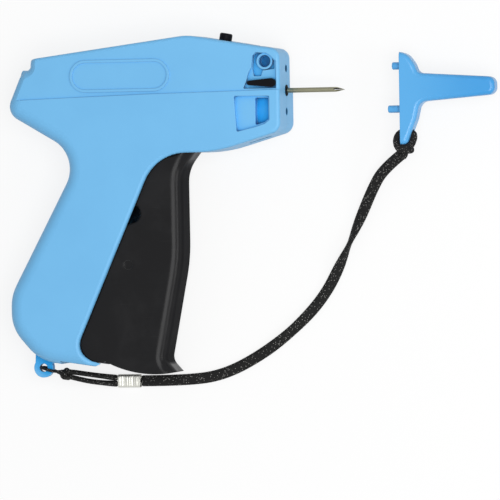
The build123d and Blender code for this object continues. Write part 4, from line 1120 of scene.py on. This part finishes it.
class TAGATTACHER_OT_fittings(bpy.types.Operator):
    """Satin black finish of the lock lever, release button and needle base"""

    bl_idname = "tagattacher.fittings"
    bl_label = "Fittings finish"

    def execute(self, context):
        s = context.scene.tag_trigger
        paint(("lock_lever", "release_button"),
              moulded("satin_black_moulding", s.fitting_colour, 0.0003, 0.000010, 0.36,
                      edge=0.0003, edge_wear_and_highlight=0.015, specular=0.06))
        paint(("needle_base",), moulded("matt_black_moulding", s.fitting_colour, 0.0003, 0.000010, 0.55,
                                        edge=0.0002, edge_wear_and_highlight=0.01, specular=0.03))
        return {"FINISHED"}


class TAGATTACHER_OT_needle(bpy.types.Operator):
    """Rolled needle: a tube whose seam narrows towards a drawn-in, bevelled point"""

    bl_idname = "tagattacher.needle"
    bl_label = "Needle"

    def execute(self, context):
        s = context.scene.tag_metal
        # Each ring is a strip of the wall: out along the outside, back along the inside.
        ease = 0.5 - 0.5 * np.cos(np.linspace(0.0, np.pi, 90))
        share = np.r_[0.0, 0.0006, ease[1:-1], 0.9994, 1.0]
        share = np.r_[share, share[::-1]]
        inside = np.arange(len(share)) >= len(share) // 2
        size = np.where(inside, NEEDLE_BORE, NEEDLE_RADIUS)[None, :]
        turns = np.linspace(0.0, 1.0, 65)[:, None]
        # Height of a place on the ring towards the side that the bevel faces, -1 to 1.
        high = -np.cos(2 * np.pi * turns - BEVEL_TURN)
        end = NEEDLE_BEVEL + (NEEDLE_TIP - NEEDLE_BEVEL) * (1.0 - high * size / NEEDLE_RADIUS) / 2
        x = NEEDLE_START + (end - NEEDLE_START) * share[None, :]
        # Past the ejector rod's reach the point is drawn in to a seventh; the seam narrows before it.
        drawn = np.clip((x - NEEDLE_DRAWN) / (NEEDLE_TIP - NEEDLE_DRAWN), 0.0, 1.0)
        size = size * (1.0 - 0.86 * drawn ** 1.25)
        closing = np.clip((x - SEAM_FROM) / (SEAM_TO - SEAM_FROM), 0.0, 1.0)
        seam = np.arcsin((SEAM_OPEN + (SEAM_CLOSED - SEAM_OPEN) * closing) / NEEDLE_RADIUS)
        # The angle runs from one edge of the seam, on the left side, round to the other.
        angle = seam + (2 * np.pi - 2 * seam) * turns
        grid = np.stack([x, size * -np.sin(angle), size * -np.cos(angle)], -1)
        grid = in_frame(grid.reshape(-1, 3)).reshape(grid.shape)
        mesh = skin("needle_tube", grid, turns[:, 0] * 2 * np.pi * NEEDLE_RADIUS * MM)
        material = metal("drawn_needle", s.needle_colour, 0.30, 14000.0, 0.000004, bore=0.002)
        piece = place("needle_tube", mesh, material, "housing", "needle_steel")
        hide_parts("needle")
        return {"FINISHED"}


class TAGATTACHER_OT_mechanism(bpy.types.Operator):
    """Natural acetal finish of the lever, carrier, feed wheel and pawl"""

    bl_idname = "tagattacher.mechanism"
    bl_label = "Mechanism finish"

    def execute(self, context):
        s = context.scene.tag_trigger
        material = moulded("natural_acetal", s.acetal_colour, 0.0005, 0.000005, 0.38, edge_wear_and_highlight=0.05)
        paint(("drive_lever", "ejector_carrier", "feed_wheel", "feed_pawl"), material)
        return {"FINISHED"}


class TAGATTACHER_OT_metals(bpy.types.Operator):
    """Finish of the pins, axles, springs, rod and blade"""

    bl_idname = "tagattacher.metals"
    bl_label = "Metal finishes"

    def execute(self, context):
        s = context.scene.tag_metal
        steel = metal("bright_steel", s.steel_colour, 0.28, 9000.0, 0.000004)
        paint(("trigger_axle", "lever_axle", "drive_pin", "carrier_pin", "ejector_rod", "cutter_blade",
               "feed_axle", "detent_spring", "release_spring", "return_spring"), steel)
        # Each spring gets a mesh of its own; its joint, its seat, the way it stands on the seat and the
        # share of its length it keeps are listed but not used.
        stem = np.array((math.sin(BUTTON_TILT), math.cos(BUTTON_TILT), 0.0))
        foot = BUTTON - BUTTON_SEAT * stem
        for name, joint, seat, stands, keep in (
                ("release_spring", "release_button_press", foot, stem, RELEASE_KEEP),
                ("return_spring", "trigger_squeeze", RETURN_SEAT, (1.0, 0.0, 0.0), RETURN_KEEP)):
            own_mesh(NODES[name])
        return {"FINISHED"}


class TAGATTACHER_PT_panel(bpy.types.Panel):
    """Steps that finish the tool, in order"""

    bl_idname = "TAGATTACHER_PT_panel"
    bl_label = "Garment tag attacher"
    bl_space_type = "VIEW_3D"
    bl_region_type = "UI"
    bl_category = "Tag attacher"

    def draw(self, context):
        for operator in OPERATORS:
            self.layout.operator(operator.bl_idname)
        for name in SETTINGS:
            box = self.layout.box()
            group = getattr(context.scene, name)
            for label in type(group).__annotations__:
                box.prop(group, label)


SETTINGS = {
    "tag_studio": StudioSettings,
    "tag_cord": CordSettings,
    "tag_housing": HousingSettings,
    "tag_cap": CapSettings,
    "tag_trigger": TriggerSettings,
    "tag_metal": MetalSettings,
}
# The knot comes before the cord.
OPERATORS = (
    TAGATTACHER_OT_studio, TAGATTACHER_OT_cord_knot, TAGATTACHER_OT_cord, TAGATTACHER_OT_string,
    TAGATTACHER_OT_ferrule, TAGATTACHER_OT_screws, TAGATTACHER_OT_housing, TAGATTACHER_OT_cap,
    TAGATTACHER_OT_trigger, TAGATTACHER_OT_fittings, TAGATTACHER_OT_needle, TAGATTACHER_OT_mechanism,
    TAGATTACHER_OT_metals,
)


def register():
    for group in SETTINGS.values():
        bpy.utils.register_class(group)
    for name, group in SETTINGS.items():
        setattr(bpy.types.Scene, name, bpy.props.PointerProperty(type=group))
    for operator in OPERATORS:
        bpy.utils.register_class(operator)
    bpy.utils.register_class(TAGATTACHER_PT_panel)


def unregister():
    bpy.utils.unregister_class(TAGATTACHER_PT_panel)
    for operator in reversed(OPERATORS):
        bpy.utils.unregister_class(operator)
    for name, group in SETTINGS.items():
        delattr(bpy.types.Scene, name)
        bpy.utils.unregister_class(group)


def main():
    """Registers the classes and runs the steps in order."""
    register()
    for operator in OPERATORS:
        group, name = operator.bl_idname.split(".")
        getattr(getattr(bpy.ops, group), name)()


if __name__ == "__main__":
    main()
